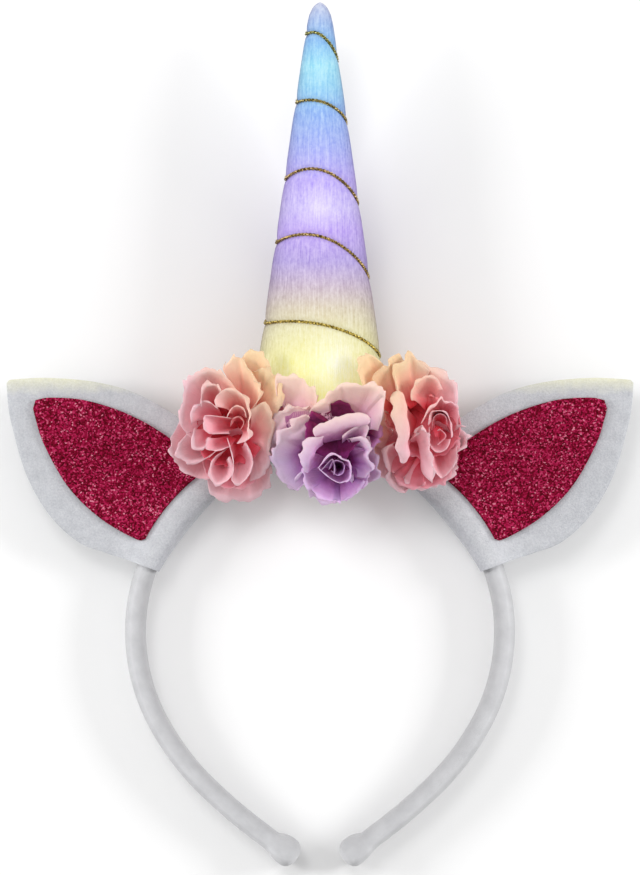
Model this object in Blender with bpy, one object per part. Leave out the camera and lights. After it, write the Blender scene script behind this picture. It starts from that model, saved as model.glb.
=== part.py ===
"""Unicorn horn headband, lying on its back with the horn pointing along +Y.

Metres, +Z up. X is left and right, Y runs from the free ends of the band to the tip of the
horn, and Z is the depth, with the flowers on top. Every outline below is given in
millimetres from the middle of the band's round, and the empty named headband carries the
pieces to their place over the origin.
"""

import math

import bmesh
import bpy
from mathutils import Matrix, Vector

MM = 0.001
GAP = 0.3

# The band: a padded strip bent in a half circle, with two legs that curl inwards
BAND_RADIUS = 66.6
BAND_HALF_THICKNESS = 3.8
BAND_HALF_DEPTH = 6.0
BAND_MID_Z = 7.8
BAND_SECTION_SIDES = 14
BAND_STEP_DEG = 9.0
BAND_ARCS = (
    # radius_mm, turn_deg
    (BAND_RADIUS, 90.0),
    (69.0, 28.0),
    (95.0, 18.0),
    (200.0, 8.0),
)
BAND_LAST_STRAIGHT = 8.5
# How square the section is: 1 would be round, and less is squarer
BAND_SQUARENESS = 0.62
BAND_END_BULB = (
    # along_mm, extra_mm: how much the padding swells round the strip's end
    (-5.0, 0.0),
    (-3.6, 0.2),
    (-3.0, 1.2),
    (-1.6, 1.8),
    (0.0, 1.8),
    (1.6, 1.3),
    (2.8, -0.3),
    (3.4, -2.2),
)

# The ears: a felt leaf of two layers that wraps the band as a sleeve
SLEEVE_WALL = 1.5
SLEEVE_FROM_DEG = 20.5
SLEEVE_TO_DEG = 57.0
SLEEVE_STEPS = 8
# The cutter runs past both ends of the sleeve
BORE_OVERRUN_DEG = 4.0
BORE_STEPS = 10
LEAF_THICKNESS = 3.0
LEAF_MID_Z = 12.4
LEAF_UPPER = (
    # x_mm, y_mm
    (-49.0, 75.4),
    (-57.6, 81.4),
    (-68.4, 86.8),
    (-82.0, 90.2),
    (-97.2, 91.5),
    (-109.5, 90.9),
)
LEAF_TIP = ((-111.9, 90.0), (-112.8, 87.6))
LEAF_LOWER = (
    # x_mm, y_mm
    (-111.2, 75.0),
    (-105.8, 56.6),
    (-97.4, 42.0),
    (-87.0, 32.3),
    (-77.0, 28.4),
    (-66.6, 25.1),
)
EDGE_STEPS = 3

# The glitter panels on the leaves
PANEL_THICKNESS = 0.8
PANEL_INNER_RADIUS = 71.4
PANEL_FROM_DEG = 28.0
PANEL_TO_DEG = 55.5
PANEL_UPPER = ((-47.0, 60.6), (-58.4, 71.2), (-71.0, 79.2), (-85.0, 83.5), (-101.6, 83.9))
PANEL_TIP = ((-103.0, 82.8), (-103.1, 80.6))
PANEL_LOWER = ((-99.4, 67.6), (-90.8, 52.4), (-79.2, 41.0), (-66.6, 33.5), (-64.0, 33.0))

# The horn: a stuffed satin cone that leans forward a little
HORN_BASE_Y = 71.0
HORN_BASE_Z = 16.5
HORN_LEAN_DEG = 5.0
HORN_SIDES = 28
HORN_BASE_RADIUS = 25.6
HORN_TAPER = 0.1433
HORN_PROFILE = (
    # along_mm, tuck_mm: how far the cloth draws in from the plain cone
    (-6.0, 8.0),
    (-2.0, 5.2),
    (1.0, 3.0),
    (5.0, 1.1),
    (10.0, 0.2),
    (20.0, 0.0),
    (39.5, 0.0),
    (60.0, 0.0),
    (90.0, 0.0),
    (120.0, 0.0),
    (144.0, 0.0),
    (149.6, 0.4),
    (153.0, 1.6),
)
HORN_LENGTH = 154.9
# The saddle that fits the horn to the band's outer side
SADDLE_SIDES = 72
SADDLE_DEPTH = 140.0
SADDLE_EXTRA = 0.1

# The gold cord: each row is one pass over the front of the horn
CORD_RADIUS = 0.7
CORD_STEP_DEG = 18.0
CORD_LEAD_DEG = 60.0
CORD_TAIL_DEG = 30.0
CORD_SLACK = 0.15
# How pointed each pass's rise is: a higher power draws it to the middle
CORD_BOW_POWER = 1.4
CORD_PASSES = (
    # left_y_mm, right_y_mm, bow_mm: the heights at the two edges and the rise between them
    (214.6, 205.9, 4.0),
    (190.1, 183.6, 3.4),
    (162.7, 154.4, 7.2),
    (140.0, 127.8, 8.0),
    (111.2, 99.4, 5.2),
)

# The roses: cups of fused petals, one inside the other. Each row of a whorl is a petal:
# direction_deg, reach_mm, half_width_deg, rim_z_mm and bell, how late the petal spreads
PETAL_WALL = 1.0
PETAL_NOTCH = 0.2
PETAL_BLEND = 1.5
ROSE_SEAT_Z = BAND_MID_Z + BAND_HALF_DEPTH + GAP
ROSE_STACK = PETAL_WALL + GAP
# How much shorter and lower every other petal of an even whorl is
EVEN_SHORTER = 0.7
EVEN_LOWER = 1.6
# The outer whorl's wall rises early, so that its belly is full
OUTER_RISE = 0.8
OUTER_GRID = {"sides": 36, "rows": 7}
MIDDLE_FOOT = 4.4
MIDDLE_GRID = {"sides": 25, "rows": 5}
INNER_FOOT = 2.7
INNER_GRID = {"sides": 20, "rows": 5}
# Above this distance along the horn the petals clear the cord as well
CORD_CLEAR_FROM = 24.0
BUD_SIDES = 12
BUD_FOLD = 0.12
BUD_EXTRA_CLEAR = 0.5
BUD_PROFILE = (
    # share of the height, width as a share of the reach
    (0.0, 0.26),
    (0.2, 0.24),
    (0.4, 0.34),
    (0.6, 0.7),
    (0.78, 0.95),
    (0.9, 0.75),
)

ROSE_LEFT = {
    "name": "rose_left",
    "colour": (0.86, 0.45, 0.48),
    "seat": (-28.8, 59.6),
    "foot": 6.4,
    "clear": 0.9,
    "layer_clear": 1.8,
    "head": (-33.8, 72.7),
    "throat": (-31.9, 73.6),
    "heart": (-30.6, 74.2),
    "outer": (
        (68.0, 27.5, 28.0, 43.0, 1.5),
        (125.0, 21.5, 30.0, 38.0, 1.3),
        (165.0, 17.5, 24.0, 33.0, 1.3),
        (208.0, 20.5, 26.0, 22.0, 1.3),
        (252.0, 26.0, 26.0, 21.0, 1.3),
        (292.0, 26.0, 26.0, 23.0, 1.3),
        (335.0, 17.0, 20.0, 30.0, 1.3),
        (10.0, 18.0, 18.0, 40.0, 1.8),
        (36.0, 22.5, 16.0, 42.0, 1.8),
    ),
    "middle": {"petals": 5, "start_deg": 40.0, "reach": 13.2, "rim_z": 42.5, "bell": 1.5},
    "inner": {"petals": 4, "start_deg": 75.0, "reach": 7.8, "rim_z": 43.5, "bell": 1.5},
    "bud": {"reach": 2.9, "top_z": 43.0},
}
ROSE_CENTRE = {
    "name": "rose_centre",
    "colour": (0.62, 0.42, 0.66),
    "seat": (3.5, 61.6),
    "foot": 7.0,
    "clear": 2.1,
    "layer_clear": 2.0,
    "head": (2.9, 67.3),
    "throat": (5.0, 62.2),
    "heart": (5.8, 60.6),
    "outer": (
        (45.0, 26.0, 22.0, 51.0, 3.0),
        (80.0, 21.5, 20.0, 51.0, 3.0),
        (117.0, 23.0, 16.0, 48.0, 3.0),
        (150.0, 18.5, 20.0, 42.0, 2.6),
        (183.0, 19.5, 20.0, 38.0, 2.2),
        (220.0, 19.0, 22.0, 26.0, 1.3),
        (262.0, 20.5, 24.0, 24.0, 1.3),
        (298.0, 19.5, 20.0, 24.0, 1.3),
        (335.0, 18.0, 22.0, 33.0, 1.8),
        (8.0, 17.0, 20.0, 41.0, 2.6),
    ),
    "middle": {"petals": 5, "start_deg": 20.0, "reach": 12.4, "rim_z": 48.5, "bell": 2.0},
    "inner": {"petals": 4, "start_deg": 60.0, "reach": 6.8, "rim_z": 47.0, "bell": 2.0},
    "bud": {"reach": 2.3, "top_z": 46.5},
}
ROSE_RIGHT = {
    "name": "rose_right",
    "colour": (0.86, 0.45, 0.48),
    "seat": (28.8, 59.6),
    "foot": 6.4,
    "clear": 0.9,
    "layer_clear": 1.8,
    "head": (33.1, 74.5),
    "throat": (36.8, 75.2),
    "heart": (38.6, 75.5),
    "outer": (
        (128.0, 26.5, 14.0, 43.0, 1.8),
        (95.0, 26.0, 22.0, 41.0, 1.5),
        (62.0, 20.5, 24.0, 38.0, 1.3),
        (30.0, 18.0, 24.0, 33.0, 1.3),
        (345.0, 19.0, 24.0, 24.0, 1.3),
        (308.0, 22.5, 26.0, 21.0, 1.3),
        (262.0, 24.0, 28.0, 22.0, 1.3),
        (222.0, 17.5, 22.0, 26.0, 1.3),
        (180.0, 14.0, 22.0, 30.0, 1.3),
        (152.0, 17.0, 14.0, 38.0, 1.5),
    ),
    "middle": {"petals": 5, "start_deg": 100.0, "reach": 13.6, "rim_z": 42.0, "bell": 1.5},
    "inner": {"petals": 4, "start_deg": 30.0, "reach": 7.6, "rim_z": 43.0, "bell": 1.5},
    "bud": {"reach": 2.4, "top_z": 43.0},
}

PETAL_ROUGHNESS = 0.8
SMOOTH_BELOW_DEG = 50.0
FINISHES = {
    # colour, roughness, metallic
    "velour": ((0.62, 0.62, 0.64), 0.95, 0.0),
    "felt": ((0.66, 0.67, 0.70), 0.95, 0.0),
    "glitter": ((0.45, 0.02, 0.09), 0.35, 0.4),
    "satin": ((0.60, 0.66, 0.95), 0.45, 0.0),
    "gold": ((0.60, 0.42, 0.12), 0.3, 1.0),
}


def clear_scene():
    for obj in list(bpy.data.objects):
        bpy.data.objects.remove(obj, do_unlink=True)


def material(name, colour, roughness, metallic=0.0):
    """A Principled material with one colour."""
    made = bpy.data.materials.new(name)
    made.use_nodes = True
    shader = made.node_tree.nodes["Principled BSDF"]
    shader.inputs["Base Color"].default_value = (*colour, 1.0)
    shader.inputs["Roughness"].default_value = roughness
    shader.inputs["Metallic"].default_value = metallic
    made.diffuse_color = (*colour, 1.0)
    return made


def place(name, mesh, carrier, finish):
    """Adds a mesh, or a curve, to the scene under the empty that carries the headband."""
    obj = bpy.data.objects.new(name, mesh)
    bpy.context.scene.collection.objects.link(obj)
    obj.parent = carrier
    mesh.materials.append(finish)
    return obj


def place_cutter(name, mesh, carrier):
    """Adds a shape that only serves a Boolean."""
    obj = bpy.data.objects.new(name, mesh)
    bpy.context.scene.collection.objects.link(obj)
    obj.parent = carrier
    obj.hide_render = True
    obj.display_type = "WIRE"
    return obj


def mesh_from(name, builder, closed=True):
    """Turns a bmesh in millimetres into a mesh in metres, a closed one with its faces out."""
    bmesh.ops.scale(builder, vec=Vector((MM, MM, MM)), verts=builder.verts)
    if closed:
        bmesh.ops.recalc_face_normals(builder, faces=builder.faces)
    mesh = bpy.data.meshes.new(name)
    builder.to_mesh(mesh)
    builder.free()
    mesh.shade_smooth()
    mesh.set_sharp_from_angle(angle=math.radians(SMOOTH_BELOW_DEG))
    return mesh


def loft(rings, first_cap=True, last_cap=True, tip=None):
    """A bmesh skin over rings of equal length. A tip closes the last ring to one point."""
    builder = bmesh.new()
    rows = [[builder.verts.new(point) for point in ring] for ring in rings]
    for low, high in zip(rows, rows[1:]):
        for i in range(len(low)):
            j = (i + 1) % len(low)
            builder.faces.new((low[i], low[j], high[j], high[i]))
    if tip is not None:
        point = builder.verts.new(tip)
        for i in range(len(rows[-1])):
            builder.faces.new((rows[-1][i], rows[-1][(i + 1) % len(rows[-1])], point))
    elif last_cap:
        builder.faces.new(rows[-1])
    if first_cap:
        builder.faces.new(reversed(rows[0]))
    return builder


def boolean(obj, cutter, operation):
    modifier = obj.modifiers.new(operation.lower(), "BOOLEAN")
    modifier.object = cutter
    modifier.operation = operation
    modifier.solver = "EXACT"


def smooth_line(points, per_span):
    """Points along a smooth curve through the given ones."""
    padded = [points[0], *points, points[-1]]
    line = []
    for before, start, end, after in zip(padded, padded[1:], padded[2:], padded[3:]):
        for k in range(per_span):
            t = k / per_span
            line.append(
                tuple(
                    0.5
                    * (
                        2 * b
                        + (c - a) * t
                        + (2 * a - 5 * b + 4 * c - d) * t**2
                        + (3 * b - a - 3 * c + d) * t**3
                    )
                    for a, b, c, d in zip(before, start, end, after)
                )
            )
    line.append(points[-1])
    return line


# The band


def band_half_path():
    """Points and headings from the top of the round to the end of one leg."""
    x, y, heading = 0.0, BAND_RADIUS, 0.0
    path = [(x, y, heading)]
    for radius, turn in BAND_ARCS:
        steps = max(1, math.ceil(turn / BAND_STEP_DEG - 1e-6))
        step = turn / steps
        for _ in range(steps):
            chord = 2 * radius * math.sin(math.radians(step / 2))
            middle = math.radians(heading + step / 2)
            x += chord * math.cos(middle)
            y -= chord * math.sin(middle)
            heading += step
            path.append((x, y, heading))
    return path


def band_ring(x, y, heading, extra=0.0, mirror=1.0):
    """One section of the band: a soft rectangle across the strip."""
    across = Vector((math.sin(math.radians(heading)), math.cos(math.radians(heading)), 0.0))
    ring = []
    for k in range(BAND_SECTION_SIDES):
        angle = 2 * math.pi * k / BAND_SECTION_SIDES + math.pi / BAND_SECTION_SIDES
        out, up = soft_square(angle)
        reach = (BAND_HALF_THICKNESS + extra) * out
        height = (BAND_HALF_DEPTH + extra) * up
        point = Vector((x, y, BAND_MID_Z + height)) + across * reach
        ring.append((point.x * mirror, point.y, point.z))
    return ring


def soft_square(angle):
    """A point of a square with well rounded corners, both coordinates from -1 to 1."""
    c, s = math.cos(angle), math.sin(angle)
    widest = math.cos(math.pi / BAND_SECTION_SIDES) ** BAND_SQUARENESS
    out = math.copysign(min(1.0, abs(c) ** BAND_SQUARENESS / widest), c)
    up = math.copysign(min(1.0, abs(s) ** BAND_SQUARENESS / widest), s)
    return out, up


def band_mesh():
    path = band_half_path()
    x, y, heading = path[-1]
    ahead = (math.cos(math.radians(heading)), -math.sin(math.radians(heading)))
    leg = [(px, py, bend, 0.0) for px, py, bend in path[1:]]
    for along, extra in BAND_END_BULB:
        reach = BAND_LAST_STRAIGHT + along
        leg.append((x + ahead[0] * reach, y + ahead[1] * reach, heading, extra))
    right = [band_ring(*section) for section in leg]
    left = [band_ring(*section, mirror=-1.0) for section in leg]
    top = band_ring(*path[0])
    rings = [*reversed(left), top, *right]
    return mesh_from("band", loft(rings))


# The ears and their glitter panels


def arc(radius, from_deg, to_deg):
    """Points on the left side of the band, counted from the horizontal."""
    points = []
    for k in range(SLEEVE_STEPS + 1):
        angle = math.radians(from_deg + (to_deg - from_deg) * k / SLEEVE_STEPS)
        points.append((-radius * math.cos(angle), radius * math.sin(angle)))
    return points


def plate(outline, low, high, side):
    """A flat plate between two heights, for the left side or mirrored for the right."""
    builder = bmesh.new()
    base = [builder.verts.new((side * x, y, low)) for x, y in outline]
    face = builder.faces.new(base)
    raised = bmesh.ops.extrude_face_region(builder, geom=[face])
    moved = [item for item in raised["geom"] if isinstance(item, bmesh.types.BMVert)]
    bmesh.ops.translate(builder, vec=Vector((0.0, 0.0, high - low)), verts=moved)
    return builder


def sleeve_shape(extra, from_deg, to_deg, side, steps):
    """The band's section, made larger by extra and swept along a stretch of the round."""
    rings = []
    for k in range(steps + 1):
        angle = from_deg + (to_deg - from_deg) * k / steps
        heading = 90.0 - angle
        x = BAND_RADIUS * math.cos(math.radians(angle))
        y = BAND_RADIUS * math.sin(math.radians(angle))
        rings.append(band_ring(x, y, heading, extra, side))
    return loft(rings)


def leaf_outline():
    return [
        *smooth_line(LEAF_UPPER, EDGE_STEPS),
        *LEAF_TIP,
        *smooth_line(LEAF_LOWER, EDGE_STEPS),
        *arc(BAND_RADIUS, SLEEVE_FROM_DEG, SLEEVE_TO_DEG),
    ]


def panel_outline():
    return [
        *smooth_line(PANEL_UPPER, EDGE_STEPS),
        *PANEL_TIP,
        *smooth_line(PANEL_LOWER, EDGE_STEPS),
        *arc(PANEL_INNER_RADIUS, PANEL_FROM_DEG, PANEL_TO_DEG),
    ]


def add_ear(side_name, side, carrier, felt, glitter):
    """The felt leaf with its sleeve round the band, and the glitter panel on its front."""
    low = LEAF_MID_Z - LEAF_THICKNESS / 2
    high = LEAF_MID_Z + LEAF_THICKNESS / 2
    leaf = plate(leaf_outline(), low, high, side)
    ear = place("ear_" + side_name, mesh_from("ear", leaf), carrier, felt)
    wrap = sleeve_shape(GAP + SLEEVE_WALL, SLEEVE_FROM_DEG, SLEEVE_TO_DEG, -side, SLEEVE_STEPS)
    bore_from = SLEEVE_FROM_DEG - BORE_OVERRUN_DEG
    bore_to = SLEEVE_TO_DEG + BORE_OVERRUN_DEG
    bore = sleeve_shape(GAP, bore_from, bore_to, -side, BORE_STEPS)
    wrap_name = "sleeve_outside_" + side_name
    bore_name = "sleeve_bore_" + side_name
    boolean(ear, place_cutter(wrap_name, mesh_from("wrap", wrap), carrier), "UNION")
    boolean(ear, place_cutter(bore_name, mesh_from("bore", bore), carrier), "DIFFERENCE")
    start = high + GAP
    panel = plate(panel_outline(), start, start + PANEL_THICKNESS, side)
    place("ear_panel_" + side_name, mesh_from("ear_panel", panel), carrier, glitter)


# The horn and its cord


def horn_radius(along):
    """The plain cone's radius at a distance along the horn from its base."""
    return HORN_BASE_RADIUS - HORN_TAPER * along


def horn_axis_z(along):
    return HORN_BASE_Z + along * math.sin(math.radians(HORN_LEAN_DEG))


def horn_ring(along, tuck):
    """One round of the horn, pressed flat where its back lies on the surface."""
    ring = []
    for k in range(HORN_SIDES):
        angle = 2 * math.pi * k / HORN_SIDES
        radius = horn_radius(along) - tuck
        x = radius * math.cos(angle)
        z = horn_axis_z(along) + radius * math.sin(angle)
        ring.append((x, HORN_BASE_Y + along, max(0.0, z)))
    return ring


def add_horn(carrier, satin):
    rings = [horn_ring(along, tuck) for along, tuck in HORN_PROFILE]
    tip = (0.0, HORN_BASE_Y + HORN_LENGTH, horn_axis_z(HORN_LENGTH))
    horn = place("horn", mesh_from("horn", loft(rings, tip=tip)), carrier, satin)
    builder = bmesh.new()
    reach = BAND_RADIUS + BAND_HALF_THICKNESS + GAP + SADDLE_EXTRA
    bmesh.ops.create_cone(
        builder,
        cap_ends=True,
        segments=SADDLE_SIDES,
        radius1=reach,
        radius2=reach,
        depth=SADDLE_DEPTH,
        matrix=Matrix.Identity(4),
    )
    saddle = place_cutter("horn_saddle", mesh_from("saddle", builder), carrier)
    boolean(horn, saddle, "DIFFERENCE")


def cord_height(angle):
    """Where the cord is along Y, at an angle wound round the horn from its left edge."""
    span = angle / 180.0
    heights = [value for left, right, _ in CORD_PASSES for value in (left, right)]
    index = min(max(int(math.floor(span)), 0), len(heights) - 2)
    start, end = heights[index], heights[index + 1]
    height = start + (end - start) * (span - index)
    on_front = index % 2 == 0 and 0.0 <= span <= len(heights) - 1
    bow = CORD_PASSES[index // 2][2] if on_front else 0.0
    return height + bow * max(0.0, math.sin(math.radians(angle))) ** CORD_BOW_POWER


def add_cord(carrier, gold):
    """The cord lies on the cone: it leaves the left edge, crosses the front and goes behind."""
    last = 180.0 * (2 * len(CORD_PASSES) - 1) + CORD_TAIL_DEG
    steps = round((last + CORD_LEAD_DEG) / CORD_STEP_DEG)
    curve = bpy.data.curves.new("horn_cord", "CURVE")
    curve.dimensions = "3D"
    spline = curve.splines.new("POLY")
    spline.points.add(steps)
    for k in range(steps + 1):
        angle = -CORD_LEAD_DEG + (last + CORD_LEAD_DEG) * k / steps
        y = cord_height(angle)
        along = y - HORN_BASE_Y
        radius = horn_radius(along) + GAP + CORD_RADIUS + CORD_SLACK
        x = -radius * math.cos(math.radians(angle))
        z = horn_axis_z(along) + radius * math.sin(math.radians(angle))
        spline.points[k].co = (x * MM, y * MM, z * MM, 1.0)
    curve.bevel_depth = CORD_RADIUS * MM
    curve.bevel_resolution = 1
    curve.use_fill_caps = True
    place("horn_cord", curve, carrier, gold)


# The roses


def off_horn(point, clear):
    """Moves a petal's point out of the horn by clear, whichever way is shorter."""
    x, y, z = point
    along = y - HORN_BASE_Y
    radius = horn_radius(max(along, 0.0)) + clear
    if along > CORD_CLEAR_FROM:
        radius += 2 * CORD_RADIUS
    axis_z = horn_axis_z(along)
    away = math.hypot(x, z - axis_z)
    reach = BAND_RADIUS + BAND_HALF_THICKNESS + GAP
    foot = math.sqrt(max(reach**2 - min(x**2, HORN_BASE_RADIUS**2), 0.0)) - clear
    if away >= radius or y <= foot:
        return point
    if y - foot < radius - away:
        return (x, foot, z)
    share = radius / max(away, 0.001)
    return (x * share, y, axis_z + (z - axis_z) * share)


def turned(angle, direction):
    """The angle between two directions, from -180 to 180."""
    return (angle - direction + 180.0) % 360.0 - 180.0


def rim_at(petals, angle):
    """The rim's reach, height and bell in one direction, from the petals that meet there."""
    reach, weights, heights, bells = 0.0, 0.0, 0.0, 0.0
    for direction, petal_reach, half_width, rim_z, bell in petals:
        away = turned(angle, direction) / half_width
        reach = max(reach, petal_reach * (1.0 - PETAL_NOTCH * away**2))
        weight = math.exp(-PETAL_BLEND * away**2)
        weights += weight
        heights += weight * rim_z
        bells += weight * bell
    return reach, heights / weights, bells / weights


def even_petals(petals, start_deg, reach, rim_z, bell):
    """Rows for a whorl whose petals are alike, with every other one a little lower."""
    step = 360.0 / petals
    rows = []
    for k in range(petals):
        shorter = EVEN_SHORTER * (k % 2)
        lower = EVEN_LOWER * (k % 2)
        rows.append((start_deg + k * step, reach - shorter, step / 2, rim_z - lower, bell))
    return rows


def mix(a, b, share):
    return tuple(p + (q - p) * share for p, q in zip(a, b))


def whorl(petals, seat, head, layer, clear, foot_radius, grid):
    """A cup of fused petals: a flat foot on its seat, a bell, and a rim of petal lobes."""
    sides, rows = grid["sides"], grid["rows"]
    foot_z = ROSE_SEAT_Z + layer * ROSE_STACK
    rims = [rim_at(petals, 360.0 * k / sides) for k in range(sides)]
    rings = []
    for row in range(rows + 1):
        share = row / rows
        rise = share if layer else share**OUTER_RISE
        ring = []
        for k in range(sides):
            reach, rim_z, bell = rims[k]
            out = (math.cos(2 * math.pi * k / sides), math.sin(2 * math.pi * k / sides))
            foot = tuple(s + foot_radius * o for s, o in zip(seat, out))
            rim = tuple(h + reach * o for h, o in zip(head, out))
            x, y = mix(foot, rim, share**bell)
            z = foot_z + (rim_z - foot_z) * rise
            ring.append(off_horn((x, y, z), clear))
        rings.append(ring)
    return loft(rings, first_cap=True, last_cap=False)


def add_whorl(name, builder, carrier, finish):
    obj = place(name, mesh_from(name, builder, closed=False), carrier, finish)
    wall = obj.modifiers.new("wall", "SOLIDIFY")
    wall.thickness = PETAL_WALL * MM
    wall.offset = -1.0
    wall.use_rim = True
    return obj


def add_bud(name, rose, foot_z, carrier, finish):
    """The rolled heart of the rose, a closed teardrop on a slim stem."""
    reach, top_z = rose["bud"]["reach"], rose["bud"]["top_z"]
    clear = rose["clear"] + 2 * rose["layer_clear"] + BUD_EXTRA_CLEAR
    rings = []
    for share, width in BUD_PROFILE:
        x, y = mix(rose["seat"], rose["heart"], share ** rose["inner"]["bell"])
        z = foot_z + (top_z - foot_z) * share
        x, y, z = off_horn((x, y, z), clear + reach * width)
        ring = []
        for k in range(BUD_SIDES):
            angle = 2 * math.pi * k / BUD_SIDES
            radius = reach * width * (1.0 + BUD_FOLD * math.cos(3 * angle))
            ring.append((x + radius * math.cos(angle), y + radius * math.sin(angle), z))
        rings.append(ring)
    tip = (*rose["heart"], top_z)
    place(name, mesh_from(name, loft(rings, tip=tip)), carrier, finish)


def add_rose(rose, carrier):
    finish = material(rose["name"], rose["colour"], PETAL_ROUGHNESS)
    name, seat = rose["name"], rose["seat"]
    clears = [rose["clear"] + layer * rose["layer_clear"] for layer in range(3)]
    outer = whorl(rose["outer"], seat, rose["head"], 0, clears[0], rose["foot"], OUTER_GRID)
    add_whorl(name + "_outer", outer, carrier, finish)
    petals = even_petals(**rose["middle"])
    middle = whorl(petals, seat, rose["throat"], 1, clears[1], MIDDLE_FOOT, MIDDLE_GRID)
    add_whorl(name + "_middle", middle, carrier, finish)
    petals = even_petals(**rose["inner"])
    inner = whorl(petals, seat, rose["heart"], 2, clears[2], INNER_FOOT, INNER_GRID)
    add_whorl(name + "_inner", inner, carrier, finish)
    add_bud(name + "_bud", rose, ROSE_SEAT_Z + 3 * ROSE_STACK, carrier, finish)


def centre_on_floor(carrier):
    """Moves the whole headband so that its box stands centred over the origin."""
    bpy.context.view_layer.update()
    depsgraph = bpy.context.evaluated_depsgraph_get()
    low = Vector((math.inf,) * 3)
    high = Vector((-math.inf,) * 3)
    for obj in carrier.children:
        if obj.hide_render:
            continue
        shape = obj.evaluated_get(depsgraph)
        mesh = shape.to_mesh()
        for vertex in mesh.vertices:
            point = shape.matrix_world @ vertex.co
            low = Vector(map(min, low, point))
            high = Vector(map(max, high, point))
        shape.to_mesh_clear()
    carrier.location -= Vector(((low.x + high.x) / 2, (low.y + high.y) / 2, low.z))


def main():
    clear_scene()
    carrier = bpy.data.objects.new("headband", None)
    bpy.context.scene.collection.objects.link(carrier)
    finishes = {name: material(name, *values) for name, values in FINISHES.items()}
    place("band", band_mesh(), carrier, finishes["velour"])
    add_ear("left", 1.0, carrier, finishes["felt"], finishes["glitter"])
    add_ear("right", -1.0, carrier, finishes["felt"], finishes["glitter"])
    add_horn(carrier, finishes["satin"])
    add_cord(carrier, finishes["gold"])
    for rose in (ROSE_LEFT, ROSE_CENTRE, ROSE_RIGHT):
        add_rose(rose, carrier)
    centre_on_floor(carrier)


main()
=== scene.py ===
# %% [markdown]
# # Unicorn horn headband
#
# The finished look of a party headband: a padded band in white velour, two felt ears with
# glitter panels, a stuffed satin horn that glows from inside, a gold cord wound round the horn,
# and three cloth roses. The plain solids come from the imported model. Each soft one is replaced
# here by a piece with the folds, lips and seams of the real thing, in the same place.

# %% Load the fixed frame
import math

import bmesh
import bpy
from mathutils import Matrix, Vector, noise


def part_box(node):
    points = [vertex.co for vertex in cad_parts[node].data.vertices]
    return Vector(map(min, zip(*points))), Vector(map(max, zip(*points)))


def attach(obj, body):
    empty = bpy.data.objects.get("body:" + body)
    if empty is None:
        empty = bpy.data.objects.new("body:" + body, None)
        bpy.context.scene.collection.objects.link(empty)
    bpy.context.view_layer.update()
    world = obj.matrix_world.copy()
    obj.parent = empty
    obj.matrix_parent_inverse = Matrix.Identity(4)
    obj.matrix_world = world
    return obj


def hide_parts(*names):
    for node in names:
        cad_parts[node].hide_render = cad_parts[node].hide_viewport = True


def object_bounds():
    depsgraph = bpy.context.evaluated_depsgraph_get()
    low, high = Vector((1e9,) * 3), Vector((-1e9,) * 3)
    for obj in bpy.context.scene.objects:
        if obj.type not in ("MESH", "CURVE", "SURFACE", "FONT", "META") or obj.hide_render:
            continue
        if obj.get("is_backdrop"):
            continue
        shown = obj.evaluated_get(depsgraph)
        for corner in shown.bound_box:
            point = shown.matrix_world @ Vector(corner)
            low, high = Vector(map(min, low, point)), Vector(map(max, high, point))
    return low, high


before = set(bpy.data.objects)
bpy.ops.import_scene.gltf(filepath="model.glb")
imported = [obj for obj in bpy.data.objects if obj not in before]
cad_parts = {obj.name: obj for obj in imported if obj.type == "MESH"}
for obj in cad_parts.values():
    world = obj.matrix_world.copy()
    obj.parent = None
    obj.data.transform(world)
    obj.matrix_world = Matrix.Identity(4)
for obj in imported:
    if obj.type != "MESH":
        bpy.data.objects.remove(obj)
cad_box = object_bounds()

MM = 0.001
UP = Vector((0.0, 0.0, 1.0))

# %% [markdown]
# All lengths below are millimetres. The model's frame has its origin in the middle of the
# headband's box, on the surface that it lies on. The band's round has its centre further down,
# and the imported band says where: its outer side is at the top of the round.

# %% Driving sizes of the headband
BAND_RADIUS = 66.6
BAND_HALF_THICKNESS = 3.8
BAND_HALF_DEPTH = 6.0
BAND_MID_Z = 7.8
GAP = 0.3
_, band_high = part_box("band")
ROUND_Y = band_high.y / MM - BAND_RADIUS - BAND_HALF_THICKNESS
print("the band's round has its centre at y =", round(ROUND_Y, 2), "mm")

# %% [markdown]
# The photograph looks straight at the front, and one of its pixels is 0.36 mm on the headband.
# Petals are placed over the photograph, so their rows hold pixel positions, which this
# helper turns into millimetres in the model's frame.

# %% From the photograph to the model
PHOTO_WIDTH = 640
PHOTO_HEIGHT = 875
MM_PER_PIXEL = 0.36
PHOTO_CENTRE_X = 320.0
PHOTO_ROUND_Y = 632.0


def from_photo(photo_x, photo_y, height):
    """A point of the photograph, at a height above the surface, in the model's frame."""
    x = (photo_x - PHOTO_CENTRE_X) * MM_PER_PIXEL
    y = ROUND_Y + (PHOTO_ROUND_Y - photo_y) * MM_PER_PIXEL
    return Vector((x, y, height))


# %% [markdown]
# A few small tools serve every piece. `finish_piece` turns a bmesh in millimetres into an object
# in metres that rides on the model. The object stays at the origin, with its place in its mesh.

# %% Tools for meshes
def finish_piece(name, builder, material, replaced=(), turn_out=True):
    """Makes the object of a piece, shades it smooth and lets it ride on the headband."""
    bmesh.ops.scale(builder, vec=Vector((MM, MM, MM)), verts=builder.verts)
    if turn_out:
        bmesh.ops.recalc_face_normals(builder, faces=builder.faces)
    mesh = bpy.data.meshes.new(name)
    builder.to_mesh(mesh)
    builder.free()
    mesh.shade_smooth()
    mesh.materials.append(material)
    piece = bpy.data.objects.new(name, mesh)
    bpy.context.scene.collection.objects.link(piece)
    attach(piece, "root")
    if replaced:
        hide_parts(*replaced)
    return piece


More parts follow.
